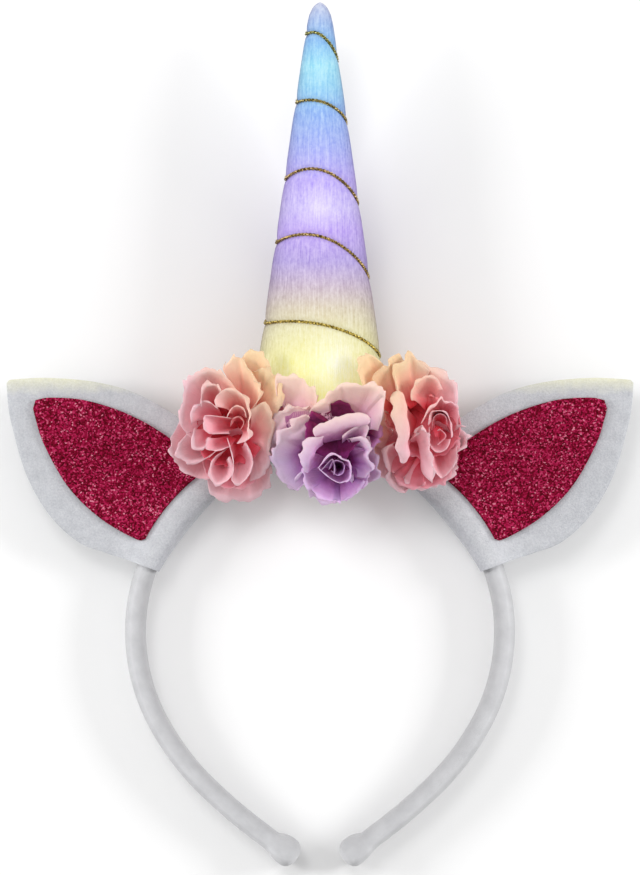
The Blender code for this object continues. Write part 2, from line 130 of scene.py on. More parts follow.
def curve_point(points, share):
    """A point on the smooth curve through the given points, from share 0 to 1."""
    spans = len(points) - 1
    place = min(max(share, 0.0), 1.0) * spans
    index = min(int(place), spans - 1)
    t = place - index
    start, end = points[index], points[index + 1]
    before = points[index - 1] if index > 0 else start * 2 - end
    after = points[index + 2] if index + 2 <= spans else end * 2 - start
    return 0.5 * (
        start * 2
        + (end - before) * t
        + (before * 2 - start * 5 + end * 4 - after) * t**2
        + (start * 3 - before - end * 3 + after) * t**3
    )


def table_value(rows, share):
    """The value between two rows of a table whose first column is the share."""
    for (low, first), (high, second) in zip(rows, rows[1:]):
        if share <= high:
            return first + (second - first) * (share - low) / (high - low)
    return rows[-1][1]


def rolled_grid(builder, columns, rows, shape):
    """A grid of faces whose points are moved by shape(across, along), both from 0 to 1."""
    made = bmesh.ops.create_grid(builder, x_segments=columns, y_segments=rows, size=0.5)
    for vertex in made["verts"]:
        vertex.co = shape(vertex.co.x + 0.5, vertex.co.y + 0.5)
    return made["verts"]


# %% [markdown]
# Every finish is made of nodes, because nothing here uses a picture. The helpers below add one
# node each and return its output, so that a material reads from top to bottom like a recipe.

# %% Tools for materials
class Finish:
    """A material and short ways to add the nodes that cloth and cord need."""

    def __init__(self, name):
        self.material = bpy.data.materials.new(name)
        self.material.use_nodes = True
        self.tree = self.material.node_tree
        self.shader = self.tree.nodes["Principled BSDF"]

    def node(self, kind, **settings):
        made = self.tree.nodes.new(kind)
        for key, value in settings.items():
            setattr(made, key, value)
        return made

    def link(self, output, socket):
        self.tree.links.new(output, socket)

    def place(self, scale=(1.0, 1.0, 1.0), move=(0.0, 0.0, 0.0)):
        """The point on the piece in metres, moved and then stretched for a pattern."""
        here = self.node("ShaderNodeTexCoord")
        mapping = self.node("ShaderNodeMapping", vector_type="POINT")
        mapping.inputs["Scale"].default_value = scale
        mapping.inputs["Location"].default_value = move
        self.link(here.outputs["Object"], mapping.inputs["Vector"])
        return mapping.outputs["Vector"]

    def attribute(self, name):
        return self.node("ShaderNodeAttribute", attribute_name=name).outputs["Fac"]

    def noise(self, scale, detail=2.0, roughness=0.5, vector=None):
        texture = self.node("ShaderNodeTexNoise")
        texture.inputs["Scale"].default_value = scale
        texture.inputs["Detail"].default_value = detail
        texture.inputs["Roughness"].default_value = roughness
        self.link(vector or self.place(), texture.inputs["Vector"])
        return texture.outputs["Fac"]

    def ramp(self, factor, *stops):
        """A colour or value for each position; stops are (position, colour)."""
        made = self.node("ShaderNodeValToRGB")
        elements = made.color_ramp.elements
        elements.remove(elements[1])
        for index, (position, colour) in enumerate(stops):
            element = elements[0] if index == 0 else elements.new(position)
            element.position = position
            element.color = (*colour, 1.0) if len(colour) == 3 else colour
        self.link(factor, made.inputs["Fac"])
        return made.outputs["Color"]

    def math(self, operation, *values):
        made = self.node("ShaderNodeMath", operation=operation)
        for socket, value in zip(made.inputs, values):
            if isinstance(value, (int, float)):
                socket.default_value = value
            else:
                self.link(value, socket)
        return made.outputs["Value"]

    def distance(self, spot, reach):
        """How far a point is from a spot over the band's round, as a share of the reach."""
        x, y, z = spot
        away = self.node("ShaderNodeVectorMath", operation="DISTANCE")
        self.link(self.node("ShaderNodeTexCoord").outputs["Object"], away.inputs[0])
        away.inputs[1].default_value = (x * MM, (ROUND_Y + y) * MM, z * MM)
        return self.math("DIVIDE", away.outputs["Value"], reach * MM)

    def mix(self, factor, first, second, blend="MIX"):
        made = self.node("ShaderNodeMix", data_type="RGBA", blend_type=blend)
        for index, value in ((0, factor), (6, first), (7, second)):
            socket = made.inputs[index]
            if isinstance(value, (int, float)):
                socket.default_value = value
            elif isinstance(value, tuple):
                socket.default_value = (*value, 1.0)
            else:
                self.link(value, socket)
        return made.outputs[2]

    def bump(self, height, strength, distance, normal=None):
        made = self.node("ShaderNodeBump")
        made.inputs["Strength"].default_value = strength
        made.inputs["Distance"].default_value = distance
        self.link(height, made.inputs["Height"])
        if normal is not None:
            self.link(normal, made.inputs["Normal"])
        return made.outputs["Normal"]

    def surface(self, colour, roughness, normal=None, **fixed):
        """Joins colour and normal to the shader; fixed are the shader's own plain values."""
        self.link(colour, self.shader.inputs["Base Color"])
        self.shader.inputs["Roughness"].default_value = roughness
        if normal is not None:
            self.link(normal, self.shader.inputs["Normal"])
        for socket, value in fixed.items():
            self.shader.inputs[socket.replace("_", " ")].default_value = value
        return self.material


# %% [markdown]
# ## The velour of the band
#
# Velour is a short pile: matt and slightly cloudy where the pile leans one way or the other.
# Painted light makes the band brighter where it turns outwards from its round, and painted shade
# makes it darker where it turns inwards. Two sizes of noise give the clouds and the pile, and
# the shader's sheen gives the bright rim.

# %% Velour and felt
def velour_finish():
    velour = Finish("velour")
    clouds = velour.noise(160.0, 3.0, 0.6)
    cloudy = velour.ramp(clouds, (0.3, (0.50, 0.50, 0.515)), (0.7, (0.57, 0.57, 0.585)))
    # Painted light and shade: brighter where the band turns outwards from its round, darker where
    # it turns inwards.
    painted_outward_light = velour.ramp(
        velour.attribute("outward"),
        (0.1, (0.86, 0.86, 0.86)),
        (0.38, (0.96, 0.96, 0.96)),
        (0.72, (1.18, 1.18, 1.18)),
        (1.0, (0.95, 0.95, 0.95)),
    )
    colour = velour.mix(1.0, cloudy, painted_outward_light, "MULTIPLY")
    pile = velour.noise(2600.0, 3.0, 0.7)
    soft = velour.bump(clouds, 0.25, 0.0008)
    normal = velour.bump(pile, 0.7, 0.0004, soft)
    fixed = {"Sheen_Weight": 0.35, "Sheen_Roughness": 0.5, "Specular_IOR_Level": 0.15}
    return velour.surface(colour, 0.95, normal, **fixed)


PAINTED_GLOW_FELT_Y = 88.0
PER_CENTIMETRE = 100.0


def felt_finish():
    felt = Finish("felt")
    clouds = felt.noise(220.0, 4.0, 0.65)
    colour = felt.ramp(clouds, (0.3, (0.50, 0.51, 0.54)), (0.7, (0.58, 0.59, 0.62)))
    # Painted glow of the horn: the felt turns pale yellow from around 88 mm up the round, more the
    # higher it is.
    split = felt.node("ShaderNodeSeparateXYZ")
    move = (0.0, -(ROUND_Y + PAINTED_GLOW_FELT_Y) * MM * PER_CENTIMETRE, 0.0)
    felt.link(felt.place((PER_CENTIMETRE,) * 3, move), split.inputs["Vector"])
    shifted = felt.math("MULTIPLY_ADD", clouds, 0.5, split.outputs["Y"])
    painted_glow = felt.ramp(shifted, (0.0, (0.0, 0.0, 0.0)), (0.7, (1.0, 1.0, 1.0)))
    colour = felt.mix(painted_glow, colour, (0.74, 0.73, 0.55))
    # Painted light and shade across the felt that wraps the band: a light line at the seam, a
    # darker zone over the band, then a bright zone next to the panel.
    painted_fold_light_and_shade = felt.ramp(
        felt.attribute("along"),
        (0.0, (1.1, 1.1, 1.1)),
        (0.03, (1.0, 1.0, 1.0)),
        (0.07, (0.82, 0.82, 0.83)),
        (0.15, (0.88, 0.88, 0.89)),
        (0.24, (1.06, 1.06, 1.05)),
        (0.33, (1.1, 1.1, 1.1)),
        (0.45, (1.0, 1.0, 1.0)),
    )
    colour = felt.mix(1.0, colour, painted_fold_light_and_shade, "MULTIPLY")
    fibres = felt.noise(1500.0, 4.0, 0.75)
    soft = felt.bump(clouds, 0.4, 0.0009)
    normal = felt.bump(fibres, 0.7, 0.0005, soft)
    spots = felt.ramp(fibres, (0.35, (0.38, 0.38, 0.38)), (0.65, (0.62, 0.62, 0.62)))
    colour = felt.mix(0.6, colour, spots, "OVERLAY")
    fixed = {"Sheen_Weight": 0.25, "Sheen_Roughness": 0.6, "Specular_IOR_Level": 0.15}
    return felt.surface(colour, 0.95, normal, **fixed)


velour_material = velour_finish()
felt_material = felt_finish()

# %% [markdown]
# ## The band
#
# The band is a flat plastic strip with foam and velour round it, bent in a half circle with two
# legs that curl inwards. One soft-cornered section is spun round the centre of each bend in
# turn, and the free end is drawn out in rings that swell into a padded bulb. Half of the band
# is made and mirrored, so both legs match.

# %% Model the band
BAND_BENDS = (
    # radius_mm, turn_deg, steps
    (BAND_RADIUS, 90.0, 30),
    (69.0, 28.0, 10),
    (95.0, 18.0, 7),
    (200.0, 8.0, 4),
)
BAND_LAST_STRAIGHT = 9.8
BAND_BULB = (
    # along_mm, inner_mm, outer_mm: how much the padding swells round the strip's end
    (-9.4, 0.0, 0.0),
    (-8.2, -0.1, 0.1),
    (-7.2, -0.1, 0.25),
    (-6.4, 0.25, 0.45),
    (-5.4, 0.85, 0.7),
    (-4.2, 1.3, 1.0),
    (-2.7, 1.55, 1.3),
    (-1.1, 1.65, 1.45),
    (0.4, 1.5, 1.4),
    (1.6, 1.0, 1.0),
    (2.5, 0.2, 0.3),
    (3.2, -0.9, -0.9),
    (3.6, -2.2, -2.2),
)
SECTION_SIDES = 32
SECTION_SQUARENESS = 0.76


def soft_section(builder, half_thickness, half_depth):
    """A ring with well rounded corners, upright across the top of the band's round."""
    made = bmesh.ops.create_circle(builder, segments=SECTION_SIDES, radius=1.0)
    for vertex in made["verts"]:
        out, up = vertex.co.x, vertex.co.y
        out = math.copysign(abs(out) ** SECTION_SQUARENESS, out)
        up = math.copysign(abs(up) ** SECTION_SQUARENESS, up)
        vertex.co = Vector((0.0, ROUND_Y + BAND_RADIUS + out * half_thickness, 0.0))
        vertex.co.z = BAND_MID_Z + up * half_depth
    return made["verts"]


def ring_edges(ring):
    """The edges that join the points of a ring, each once."""
    edges = dict.fromkeys(edge for vertex in ring for edge in vertex.link_edges)
    return [edge for edge in edges if all(vertex in ring for vertex in edge.verts)]


def spin_on(builder, last, centre, turn_deg, steps):
    """Spins the last ring clockwise round a centre and returns the new last ring."""
    made = bmesh.ops.spin(
        builder,
        geom=[*last, *ring_edges(last)],
        cent=centre,
        axis=UP,
        dvec=Vector(),
        angle=-math.radians(turn_deg),
        steps=steps,
        use_merge=False,
        use_duplicate=False,
    )
    return [item for item in made["geom_last"] if isinstance(item, bmesh.types.BMVert)]


def draw_on(builder, last, move):
    """Extrudes the last ring by one row and returns the new ring."""
    made = bmesh.ops.extrude_edge_only(builder, edges=ring_edges(last))
    moved = [item for item in made["geom"] if isinstance(item, bmesh.types.BMVert)]
    bmesh.ops.translate(builder, vec=move, verts=moved)
    return moved


def ring_middle(ring):
    return sum((vertex.co for vertex in ring), Vector()) / len(ring)


def band_half(builder):
    """The right half of the band, from the top of the round to the tip of its bulb."""
    last = soft_section(builder, BAND_HALF_THICKNESS, BAND_HALF_DEPTH)
    heading = 0.0
    for radius, turn, steps in BAND_BENDS:
        inward = Vector((-math.sin(heading), -math.cos(heading), 0.0))
        centre = ring_middle(last) + inward * radius
        last = spin_on(builder, last, centre, turn, steps)
        heading += math.radians(turn)
    ahead = Vector((math.cos(heading), -math.sin(heading), 0.0))
    outward = Vector((math.sin(heading), math.cos(heading), 0.0))
    reached, swollen = 0.0, (0.0, 0.0)
    for along, *extras in BAND_BULB:
        step = BAND_LAST_STRAIGHT + along - reached
        last = draw_on(builder, last, ahead * step)
        middle = ring_middle(last) - outward * (swollen[1] - swollen[0]) / 2
        for vertex in last:
            offset = vertex.co - middle
            across = offset.dot(outward)
            is_outer = across > 0
            extra, had = extras[is_outer], swollen[is_outer]
            widen = (extra - had) * across / (BAND_HALF_THICKNESS + had)
            deepen = (extras[0] - swollen[0]) * offset.z / (BAND_HALF_DEPTH + swollen[0])
            vertex.co += outward * widen + UP * deepen
        reached += step
        swollen = extras
    bmesh.ops.contextual_create(builder, geom=last)


def put_in_order(builder):
    """Sorts edges and faces by their points, because a spin leaves its faces in any order."""
    builder.verts.index_update()
    for parts in (builder.edges, builder.faces):
        ordered = sorted(parts, key=lambda part: [vertex.index for vertex in part.verts])
        for index, part in enumerate(ordered):
            part.index = index
        parts.sort()


def add_band():
    builder = bmesh.new()
    band_half(builder)
    everything = [*builder.verts, *builder.edges, *builder.faces]
    bmesh.ops.mirror(builder, geom=everything, matrix=Matrix.Identity(4), merge_dist=0.01, axis="X")
    bmesh.ops.remove_doubles(builder, verts=builder.verts, dist=0.01)
    bmesh.ops.recalc_face_normals(builder, faces=builder.faces)
    put_in_order(builder)
    builder.normal_update()
    # How far each point faces out from the round; the velour paints light and shade from it.
    outward_layer = builder.verts.layers.float.new("outward")
    for vertex in builder.verts:
        radial = Vector((vertex.co.x, vertex.co.y - ROUND_Y, 0.0)).normalized()
        vertex[outward_layer] = 0.5 + 0.5 * vertex.normal.dot(radial)
    return finish_piece("band_velour", builder, velour_material, ("band",))


band = add_band()
print("band faces:", len(band.data.polygons))

# %% [markdown]
# ## The ears
#
# Each ear is one piece of felt folded round the band and glued to a second one behind, so its
# front runs from a seam inside the band, over the band, and out to the tip of the ear. That is
# a sheet with four sides, so it is made from a grid: one way goes round the band's bend, the
# other goes from the seam to the tip.

# %% Sizes of the ears
EAR_FROM_DEG = 20.5
EAR_TO_DEG = 57.0
EAR_MID_Z = 12.4
FELT_WALL = 1.3
EAR_ROOT_RADIUS = 74.0
EAR_UPPER = (
    # x_mm, y_mm from the centre of the round, from the band to the tip
    (-40.3, 62.1),
    (-49.0, 75.4),
    (-57.6, 81.4),
    (-68.4, 86.8),
    (-82.0, 90.2),
    (-97.2, 91.5),
    (-107.5, 91.2),
    (-111.9, 90.8),
)
EAR_LOWER = (
    (-69.3, 25.9),
    (-77.0, 28.4),
    (-87.0, 32.3),
    (-97.4, 42.0),
    (-105.8, 56.6),
    (-111.2, 75.0),
    (-112.6, 84.0),
    (-112.9, 89.7),
)
FRONT_SECTION = (
    # share of the way over the band, distance from the band's middle line, height
    (0.0, -7.0, 8.1),
    (0.06, -7.0, 8.7),
    (0.12, -5.9, 9.3),
    (0.2, -5.7, 11.2),
    (0.32, -5.2, 13.6),
    (0.45, -3.6, 15.0),
    (0.6, -1.0, 15.5),
    (0.75, 1.8, 15.5),
    (0.9, 4.6, 15.0),
    (1.0, 7.4, 14.2),
)
BACK_SECTION = (
    (0.0, -7.0, 7.5),
    (0.05, -7.0, 6.9),
    (0.1, -5.9, 6.3),
    (0.17, -5.7, 4.4),
    (0.3, -5.2, 2.0),
    (0.45, -3.4, 0.5),
    (0.6, 0.0, 0.2),
    (0.75, 3.6, 0.6),
    (0.87, 5.4, 3.2),
    (0.94, 5.9, 7.4),
    (1.0, 7.4, 10.6),
)
SECTION_SHARE = 0.36
SEAM_AT_ENDS = 4.7
SEAM_BOW = 1.9
FELT_COLUMNS = 34
FELT_ROWS = 60
RIM_SHARE = 0.12
HALF_PADDING = 0.75
WAVE_HEIGHT = 0.35
WAVES_PER_MM = 0.09
SETTLE_SHARE = 0.1


def section_at(rows, share):
    """The band's cover at a share of the way over it: offset outwards and height."""
    offsets = [(row[0], row[1]) for row in rows]
    heights = [(row[0], row[2]) for row in rows]
    return table_value(offsets, share), table_value(heights, share)


def round_point(radius, degrees, height=0.0):
    """A point on the left side of the band's round, counted from the horizontal."""
    angle = math.radians(degrees)
    return Vector((-radius * math.cos(angle), ROUND_Y + radius * math.sin(angle), height))


def outline_point(rows, share):
    points = [Vector((x, ROUND_Y + y, 0.0)) for x, y in rows]
    return curve_point(points, share)


def ear_point(rows, front, around, along):
    """A point of the felt: around goes from the lower edge to the upper one."""
    degrees = EAR_FROM_DEG + (EAR_TO_DEG - EAR_FROM_DEG) * around
    if along <= SECTION_SHARE:
        offset, height = section_at(rows, along / SECTION_SHARE)
        offset = max(offset, -SEAM_AT_ENDS - SEAM_BOW * math.sin(math.pi * around))
        return round_point(BAND_RADIUS + offset, degrees, height)
    share = (along - SECTION_SHARE) / (1.0 - SECTION_SHARE)
    lower = outline_point(EAR_LOWER, share)
    upper = outline_point(EAR_UPPER, share)
    point = lower.lerp(upper, around)
    chord = outline_point(EAR_LOWER, 0.0).lerp(outline_point(EAR_UPPER, 0.0), around)
    point += (round_point(EAR_ROOT_RADIUS, degrees) - chord) * (1.0 - share) ** 3
    rim = min(around, 1.0 - around, (1.0 - share) * 1.2)
    swell = min(rim / RIM_SHARE, 1.0)
    root_height = rows[-1][2]
    flat = EAR_MID_Z + (front * (HALF_PADDING + HALF_PADDING * swell**0.5))
    settle = min(share / SETTLE_SHARE, 1.0)
    point.z = root_height + (flat - root_height) * settle
    point.z += front * WAVE_HEIGHT * swell * noise.noise(point * WAVES_PER_MM)
    return point


# %% [markdown]
# The front and back sheets are one bmesh each, given their thickness by a Solidify modifier
# that grows inwards, so the outline stays where it is. The right ear is the left one mirrored.

# %% Model the felt of the ears
def mirrored(builder):
    """Turns a left piece into the right one."""
    bmesh.ops.scale(builder, vec=Vector((-1.0, 1.0, 1.0)), verts=builder.verts)
    bmesh.ops.reverse_faces(builder, faces=builder.faces)


def felt_layer(rows, front):
    builder = bmesh.new()
    along_layer = builder.verts.layers.float.new("along")
    columns, rings = FELT_COLUMNS, FELT_ROWS
    made = bmesh.ops.create_grid(builder, x_segments=columns, y_segments=rings, size=0.5)
    for vertex in made["verts"]:
        around, along = vertex.co.x + 0.5, vertex.co.y + 0.5
        vertex[along_layer] = along
        vertex.co = ear_point(rows, front, around, along)
    builder.faces.ensure_lookup_table()
    middle = builder.faces[len(builder.faces) // 2]
    middle.normal_update()
    if middle.normal.z * front < 0:
        bmesh.ops.reverse_faces(builder, faces=builder.faces)
    return builder


FELT_EDGE = 0.4


def add_felt(side_name, is_right):
    for layer, rows, front in (("front", FRONT_SECTION, 1.0), ("back", BACK_SECTION, -1.0)):
        builder = felt_layer(rows, front)
        if is_right:
            mirrored(builder)
        name = "ear_" + side_name + "_" + layer
        replaced = ("ear_" + side_name,) if layer == "front" else ()
        felt = finish_piece(name, builder, felt_material, replaced, turn_out=False)
        wall = felt.modifiers.new("wall", "SOLIDIFY")
        wall.thickness = FELT_WALL * MM
        wall.offset = -1.0
        soften = felt.modifiers.new("soft edges", "BEVEL")
        soften.width = FELT_EDGE * MM
        soften.segments = 2
        soften.limit_method = "ANGLE"
        soften.angle_limit = math.radians(60.0)


add_felt("left", False)
add_felt("right", True)

# %% [markdown]
# ## The glitter panels
#
# The panels are cloth covered in hexagonal flakes that lie at all angles, so most of them look
# dark red and a few catch the light. A cell pattern the size of the flakes paints each one lit
# or shaded: painted glints on the few bright ones and painted shade on the darkest. The same
# cells tilt the surface a little.

# %% Glitter
FLAKE_SIZE = 0.5


def glitter_finish():
    glitter = Finish("glitter")
    cells = glitter.node("ShaderNodeTexVoronoi", feature="F1")
    cells.inputs["Scale"].default_value = 1.0 / (FLAKE_SIZE * MM)
    glitter.link(glitter.place(), cells.inputs["Vector"])
    split = glitter.node("ShaderNodeSeparateColor")
    glitter.link(cells.outputs["Color"], split.inputs["Color"])
    patches = glitter.noise(420.0, 2.0)
    lifted = glitter.math("MULTIPLY_ADD", patches, 0.3, -0.15)
    pick = glitter.math("ADD", split.outputs["Red"], lifted)
    # Painted glints and shade: each flake's brightness stands in for how it catches the light.
    colour = glitter.ramp(
        pick,
        (0.0, (0.06, 0.0002, 0.003)),
        (0.3, (0.13, 0.0006, 0.010)),
        (0.55, (0.24, 0.002, 0.028)),
        (0.8, (0.38, 0.010, 0.065)),
        (0.95, (0.50, 0.05, 0.13)),
        (1.0, (0.64, 0.20, 0.28)),
    )
    normal = glitter.bump(split.outputs["Green"], 0.4, 0.0002)
    return glitter.surface(colour, 0.6, normal, Specular_IOR_Level=0.05)


glitter_material = glitter_finish()

PANEL_WALL = 0.7
PANEL_GAP = 0.35
PANEL_COLUMNS = 26
PANEL_ROWS = 40
FELT_TOP_Z = EAR_MID_Z + 1.5
PANEL_INNER_RADIUS = 71.4
PANEL_FROM_DEG = 28.0
PANEL_TO_DEG = 55.5
PANEL_UPPER = (
    (-41.0, 58.8),
    (-47.0, 64.0),
    (-58.4, 72.6),
    (-71.0, 79.2),
    (-85.0, 83.5),
    (-97.0, 84.4),
    (-102.4, 83.5),
)
PANEL_LOWER = (
    (-63.0, 33.5),
    (-66.6, 33.6),
    (-79.2, 41.0),
    (-90.8, 52.4),
    (-99.4, 67.6),
    (-102.6, 77.5),
    (-103.3, 80.6),
)


def panel_point(around, along):
    """A point of the panel, which lies on the felt and follows it where it nears the band."""
    degrees = PANEL_FROM_DEG + (PANEL_TO_DEG - PANEL_FROM_DEG) * around
    lower = outline_point(PANEL_LOWER, along)
    upper = outline_point(PANEL_UPPER, along)
    point = lower.lerp(upper, around)
    chord = outline_point(PANEL_LOWER, 0.0).lerp(outline_point(PANEL_UPPER, 0.0), around)
    point += (round_point(PANEL_INNER_RADIUS, degrees) - chord) * (1.0 - along) ** 3
    out = Vector((point.x, point.y - ROUND_Y, 0.0)).length - BAND_RADIUS
    rows = [(row[1], row[2]) for row in FRONT_SECTION[-4:]]
    felt_height = max(table_value(rows, min(out, rows[-1][0])), FELT_TOP_Z)
    point.z = felt_height + PANEL_GAP + PANEL_WALL
    return point


def add_panel(side_name, is_right):
    builder = bmesh.new()
    rolled_grid(builder, PANEL_COLUMNS, PANEL_ROWS, panel_point)
    builder.faces.ensure_lookup_table()
    builder.faces[0].normal_update()
    if builder.faces[0].normal.z < 0:
        bmesh.ops.reverse_faces(builder, faces=builder.faces)
    if is_right:
        mirrored(builder)
    name = "ear_panel_" + side_name + "_glitter"
    replaced = ("ear_panel_" + side_name,)
    panel = finish_piece(name, builder, glitter_material, replaced, turn_out=False)
    wall = panel.modifiers.new("wall", "SOLIDIFY")
    wall.thickness = PANEL_WALL * MM
    wall.offset = -1.0


add_panel("left", False)
add_panel("right", True)

# %% [markdown]
# ## The horn
#
# The horn is a long satin cone stuffed with fibre, with small lamps inside it. The cord holds
# the cloth in, so it puffs out between the turns. It lies on its back, which is pressed flat.
# A grid rolled up into a cone takes all of this, because each point knows how far round and how
# far along it is.

# %% Sizes of the horn and the cord's course
HORN_BASE_Y = ROUND_Y + 71.0
HORN_BASE_Z = 16.5
HORN_LEAN = math.radians(5.0)
HORN_BASE_RADIUS = 25.6
HORN_TAPER = 0.1433
HORN_LENGTH = 154.9
HORN_TUCK = (
    # along_mm, tuck_mm: how far the cloth draws in from the plain cone
    (-6.0, 8.0),
    (-2.0, 5.2),
    (1.0, 3.0),
    (5.0, 1.1),
    (10.0, 0.2),
    (20.0, 0.0),
    (147.0, 0.0),
    (150.5, 0.35),
    (152.8, 1.1),
    (154.2, 2.1),
    (HORN_LENGTH, 3.3),
)
HORN_PUFF = 0.35
PUFF_WIDTH = 4.0
HORN_GROOVE = 0.85
GROOVE_WIDTH = 1.1
SLIM_RADIUS = 9.0
HORN_TUCKED_LENGTH = 6.0
HORN_COLUMNS = 112
HORN_ROWS = 300
HORN_RIBS = 190
FAR_FROM_CORD = 99.0
CORD_LEAD_DEG = 60.0
CORD_TAIL_DEG = 30.0
CORD_PASSES = (
    # left_y_mm, right_y_mm, bow_mm: from the centre of the round, over the front of the horn
    (214.6, 205.9, 4.0),
    (190.1, 183.6, 3.4),
    (162.7, 154.4, 7.2),
    (140.0, 127.8, 8.0),
    (111.2, 99.4, 5.2),
)


def horn_radius(along):
    return HORN_BASE_RADIUS - HORN_TAPER * along


def horn_axis_z(along):
    return HORN_BASE_Z + along * math.sin(HORN_LEAN)


def cord_height(angle):
    """Where the cord is along Y, at an angle wound round the horn from its left edge."""
    span = angle / 180.0
    heights = [value for left, right, _ in CORD_PASSES for value in (left, right)]
    index = min(max(int(math.floor(span)), 0), len(heights) - 2)
    start, end = heights[index], heights[index + 1]
    height = start + (end - start) * (span - index)
    on_front = index % 2 == 0 and 0.0 <= span <= len(heights) - 1
    bow = CORD_PASSES[index // 2][2] if on_front else 0.0
    return ROUND_Y + height + bow * max(0.0, math.sin(math.radians(angle))) ** 1.4


def from_cord(angle, y):
    """The distance along the horn to the nearest turn of the cord, at an angle round it."""
    turns = range(-1, len(CORD_PASSES) + 1)
    first = -CORD_LEAD_DEG
    last = 180.0 * (2 * len(CORD_PASSES) - 1) + CORD_TAIL_DEG
    wound = [angle + 360.0 * turn for turn in turns]
    held = [abs(cord_height(place) - y) for place in wound if first <= place <= last]
    return min(held or [FAR_FROM_CORD])


def horn_point(around, along_share):
    """A point of the horn's skin: around goes once round it, along from base to tip."""
    along = -HORN_TUCKED_LENGTH + (HORN_LENGTH + HORN_TUCKED_LENGTH) * along_share
    angle = 360.0 * around
    tuck = table_value(HORN_TUCK, along)
    held = from_cord(angle, HORN_BASE_Y + along)
    slim = min(1.0, horn_radius(along) / SLIM_RADIUS)
    puff = HORN_PUFF * (1.0 - math.exp(-((held / PUFF_WIDTH) ** 2))) * slim
    groove = HORN_GROOVE * math.exp(-((held / GROOVE_WIDTH) ** 2))
    radius = max(0.02, horn_radius(along) - tuck + puff - groove)
    turn = math.radians(angle)
    x = -radius * math.cos(turn)
    z = horn_axis_z(along) + radius * math.sin(turn)
    saddle = BAND_RADIUS + BAND_HALF_THICKNESS + GAP + 0.1
    seat = ROUND_Y + math.sqrt(max(saddle**2 - x**2, 0.0))
    return Vector((x, max(HORN_BASE_Y + along, seat), max(0.0, z)))


# %% [markdown]
# The satin is white, and the lamps inside colour it: cyan near the tip, then violet, then
# yellow at the base. The glow runs along the horn in a ramp and is stronger over each lamp.
# Painted shade dims the glow and the satin's colour towards the horn's sides and over all of
# its lower half. Fine ribs run along it.

# %% Satin with lamps behind it
HORN_RAMP = (
    # y_mm from the centre of the round, the glow's colour
    (86.0, (0.93, 0.90, 0.42)),
    (97.0, (0.97, 0.95, 0.45)),
    (107.0, (0.88, 0.84, 0.50)),
    (116.0, (0.76, 0.68, 0.53)),
    (124.0, (0.63, 0.52, 0.62)),
    (133.0, (0.52, 0.42, 0.80)),
    (144.0, (0.57, 0.43, 0.93)),
    (152.0, (0.66, 0.57, 0.97)),
    (162.0, (0.56, 0.46, 0.95)),
    (174.0, (0.43, 0.49, 0.93)),
    (186.0, (0.33, 0.51, 0.91)),
    (196.0, (0.35, 0.70, 0.93)),
    (203.0, (0.36, 0.78, 0.95)),
    (212.0, (0.29, 0.55, 0.90)),
    (220.0, (0.42, 0.55, 0.85)),
    (226.0, (0.65, 0.68, 0.84)),
)
HORN_LAMPS = (
    # x_mm, y_mm from the centre of the round, height, reach of its glow, strength, colour
    (0.7, 201.6, 30.0, 9.0, 0.35, (0.75, 0.95, 1.0)),
    (0.0, 151.9, 38.0, 9.0, 0.55, (0.92, 0.86, 1.0)),
    (5.4, 97.2, 41.0, 13.0, 1.0, (1.0, 1.0, 0.80)),
)
RAMP_FROM = 80.0
RAMP_TO = 230.0


def up_the_horn(finish):
    """Where a point lies up the horn, from 0 where the ramp starts to 1 where it ends."""
    length = (RAMP_TO - RAMP_FROM) * MM
    move = (0.0, -(ROUND_Y + RAMP_FROM) * MM / length, 0.0)
    split = finish.node("ShaderNodeSeparateXYZ")
    finish.link(finish.place((1.0 / length,) * 3, move), split.inputs["Vector"])
    return split.outputs["Y"]


def satin_finish():
    satin = Finish("satin")
    stops = [((y - RAMP_FROM) / (RAMP_TO - RAMP_FROM), colour) for y, colour in HORN_RAMP]
    glow = satin.ramp(up_the_horn(satin), *stops)
    for x, y, z, reach, strength, colour in HORN_LAMPS:
        near = satin.distance((x, y, z), reach)
        peak, slope = (strength,) * 3, (strength * 0.4,) * 3
        share = satin.ramp(near, (0.0, peak), (0.45, slope), (1.0, (0.0, 0.0, 0.0)))
        glow = satin.mix(share, glow, colour)
    # Painted shade: dimmer towards the horn's sides and over its lower half, read from each point's
    # place round the horn.
    facing = satin.attribute("facing")
    painted_side_shade = satin.ramp(
        facing,
        (0.0, (0.30, 0.26, 0.34)),
        (0.4, (0.62, 0.60, 0.66)),
        (0.75, (0.88, 0.88, 0.90)),
        (1.0, (1.0, 1.0, 1.0)),
    )
    shown = satin.mix(1.0, glow, painted_side_shade, "MULTIPLY")
    mottle = satin.noise(1.0, 4.0, 0.75, satin.place((900.0, 600.0, 900.0)))
    grain = satin.ramp(mottle, (0.3, (0.1, 0.1, 0.1)), (0.7, (0.9, 0.9, 0.9)))
    lit = satin.mix(0.48, shown, grain, "SOFT_LIGHT")
    turned = satin.math("MULTIPLY", satin.attribute("around"), 2 * math.pi * HORN_RIBS)
    ribs = satin.math("SINE", turned)
    streaks = satin.noise(1.0, 3.0, 0.6, satin.place((1600.0, 50.0, 1600.0)))
    wrinkles = satin.noise(90.0, 2.0, 0.5, satin.place((1.0, 1.6, 1.0)))
    lines = satin.ramp(streaks, (0.35, (0.0, 0.0, 0.0)), (0.65, (1.0, 1.0, 1.0)))
    lit = satin.mix(0.3, lit, lines, "SOFT_LIGHT")
    satin.link(lit, satin.shader.inputs["Emission Color"])
    normal = satin.bump(wrinkles, 0.4, 0.0012)
    normal = satin.bump(mottle, 0.4, 0.0003, normal)
    normal = satin.bump(ribs, 0.35, 0.00015, normal)
    normal = satin.bump(streaks, 0.3, 0.0003, normal)
    base = satin.mix(1.0, lit, (0.44, 0.44, 0.44), "MULTIPLY")
    fixed = {"Emission_Strength": 0.52, "Sheen_Weight": 0.0, "Specular_IOR_Level": 0.25}
    return satin.surface(base, 0.55, normal, **fixed)


satin_material = satin_finish()


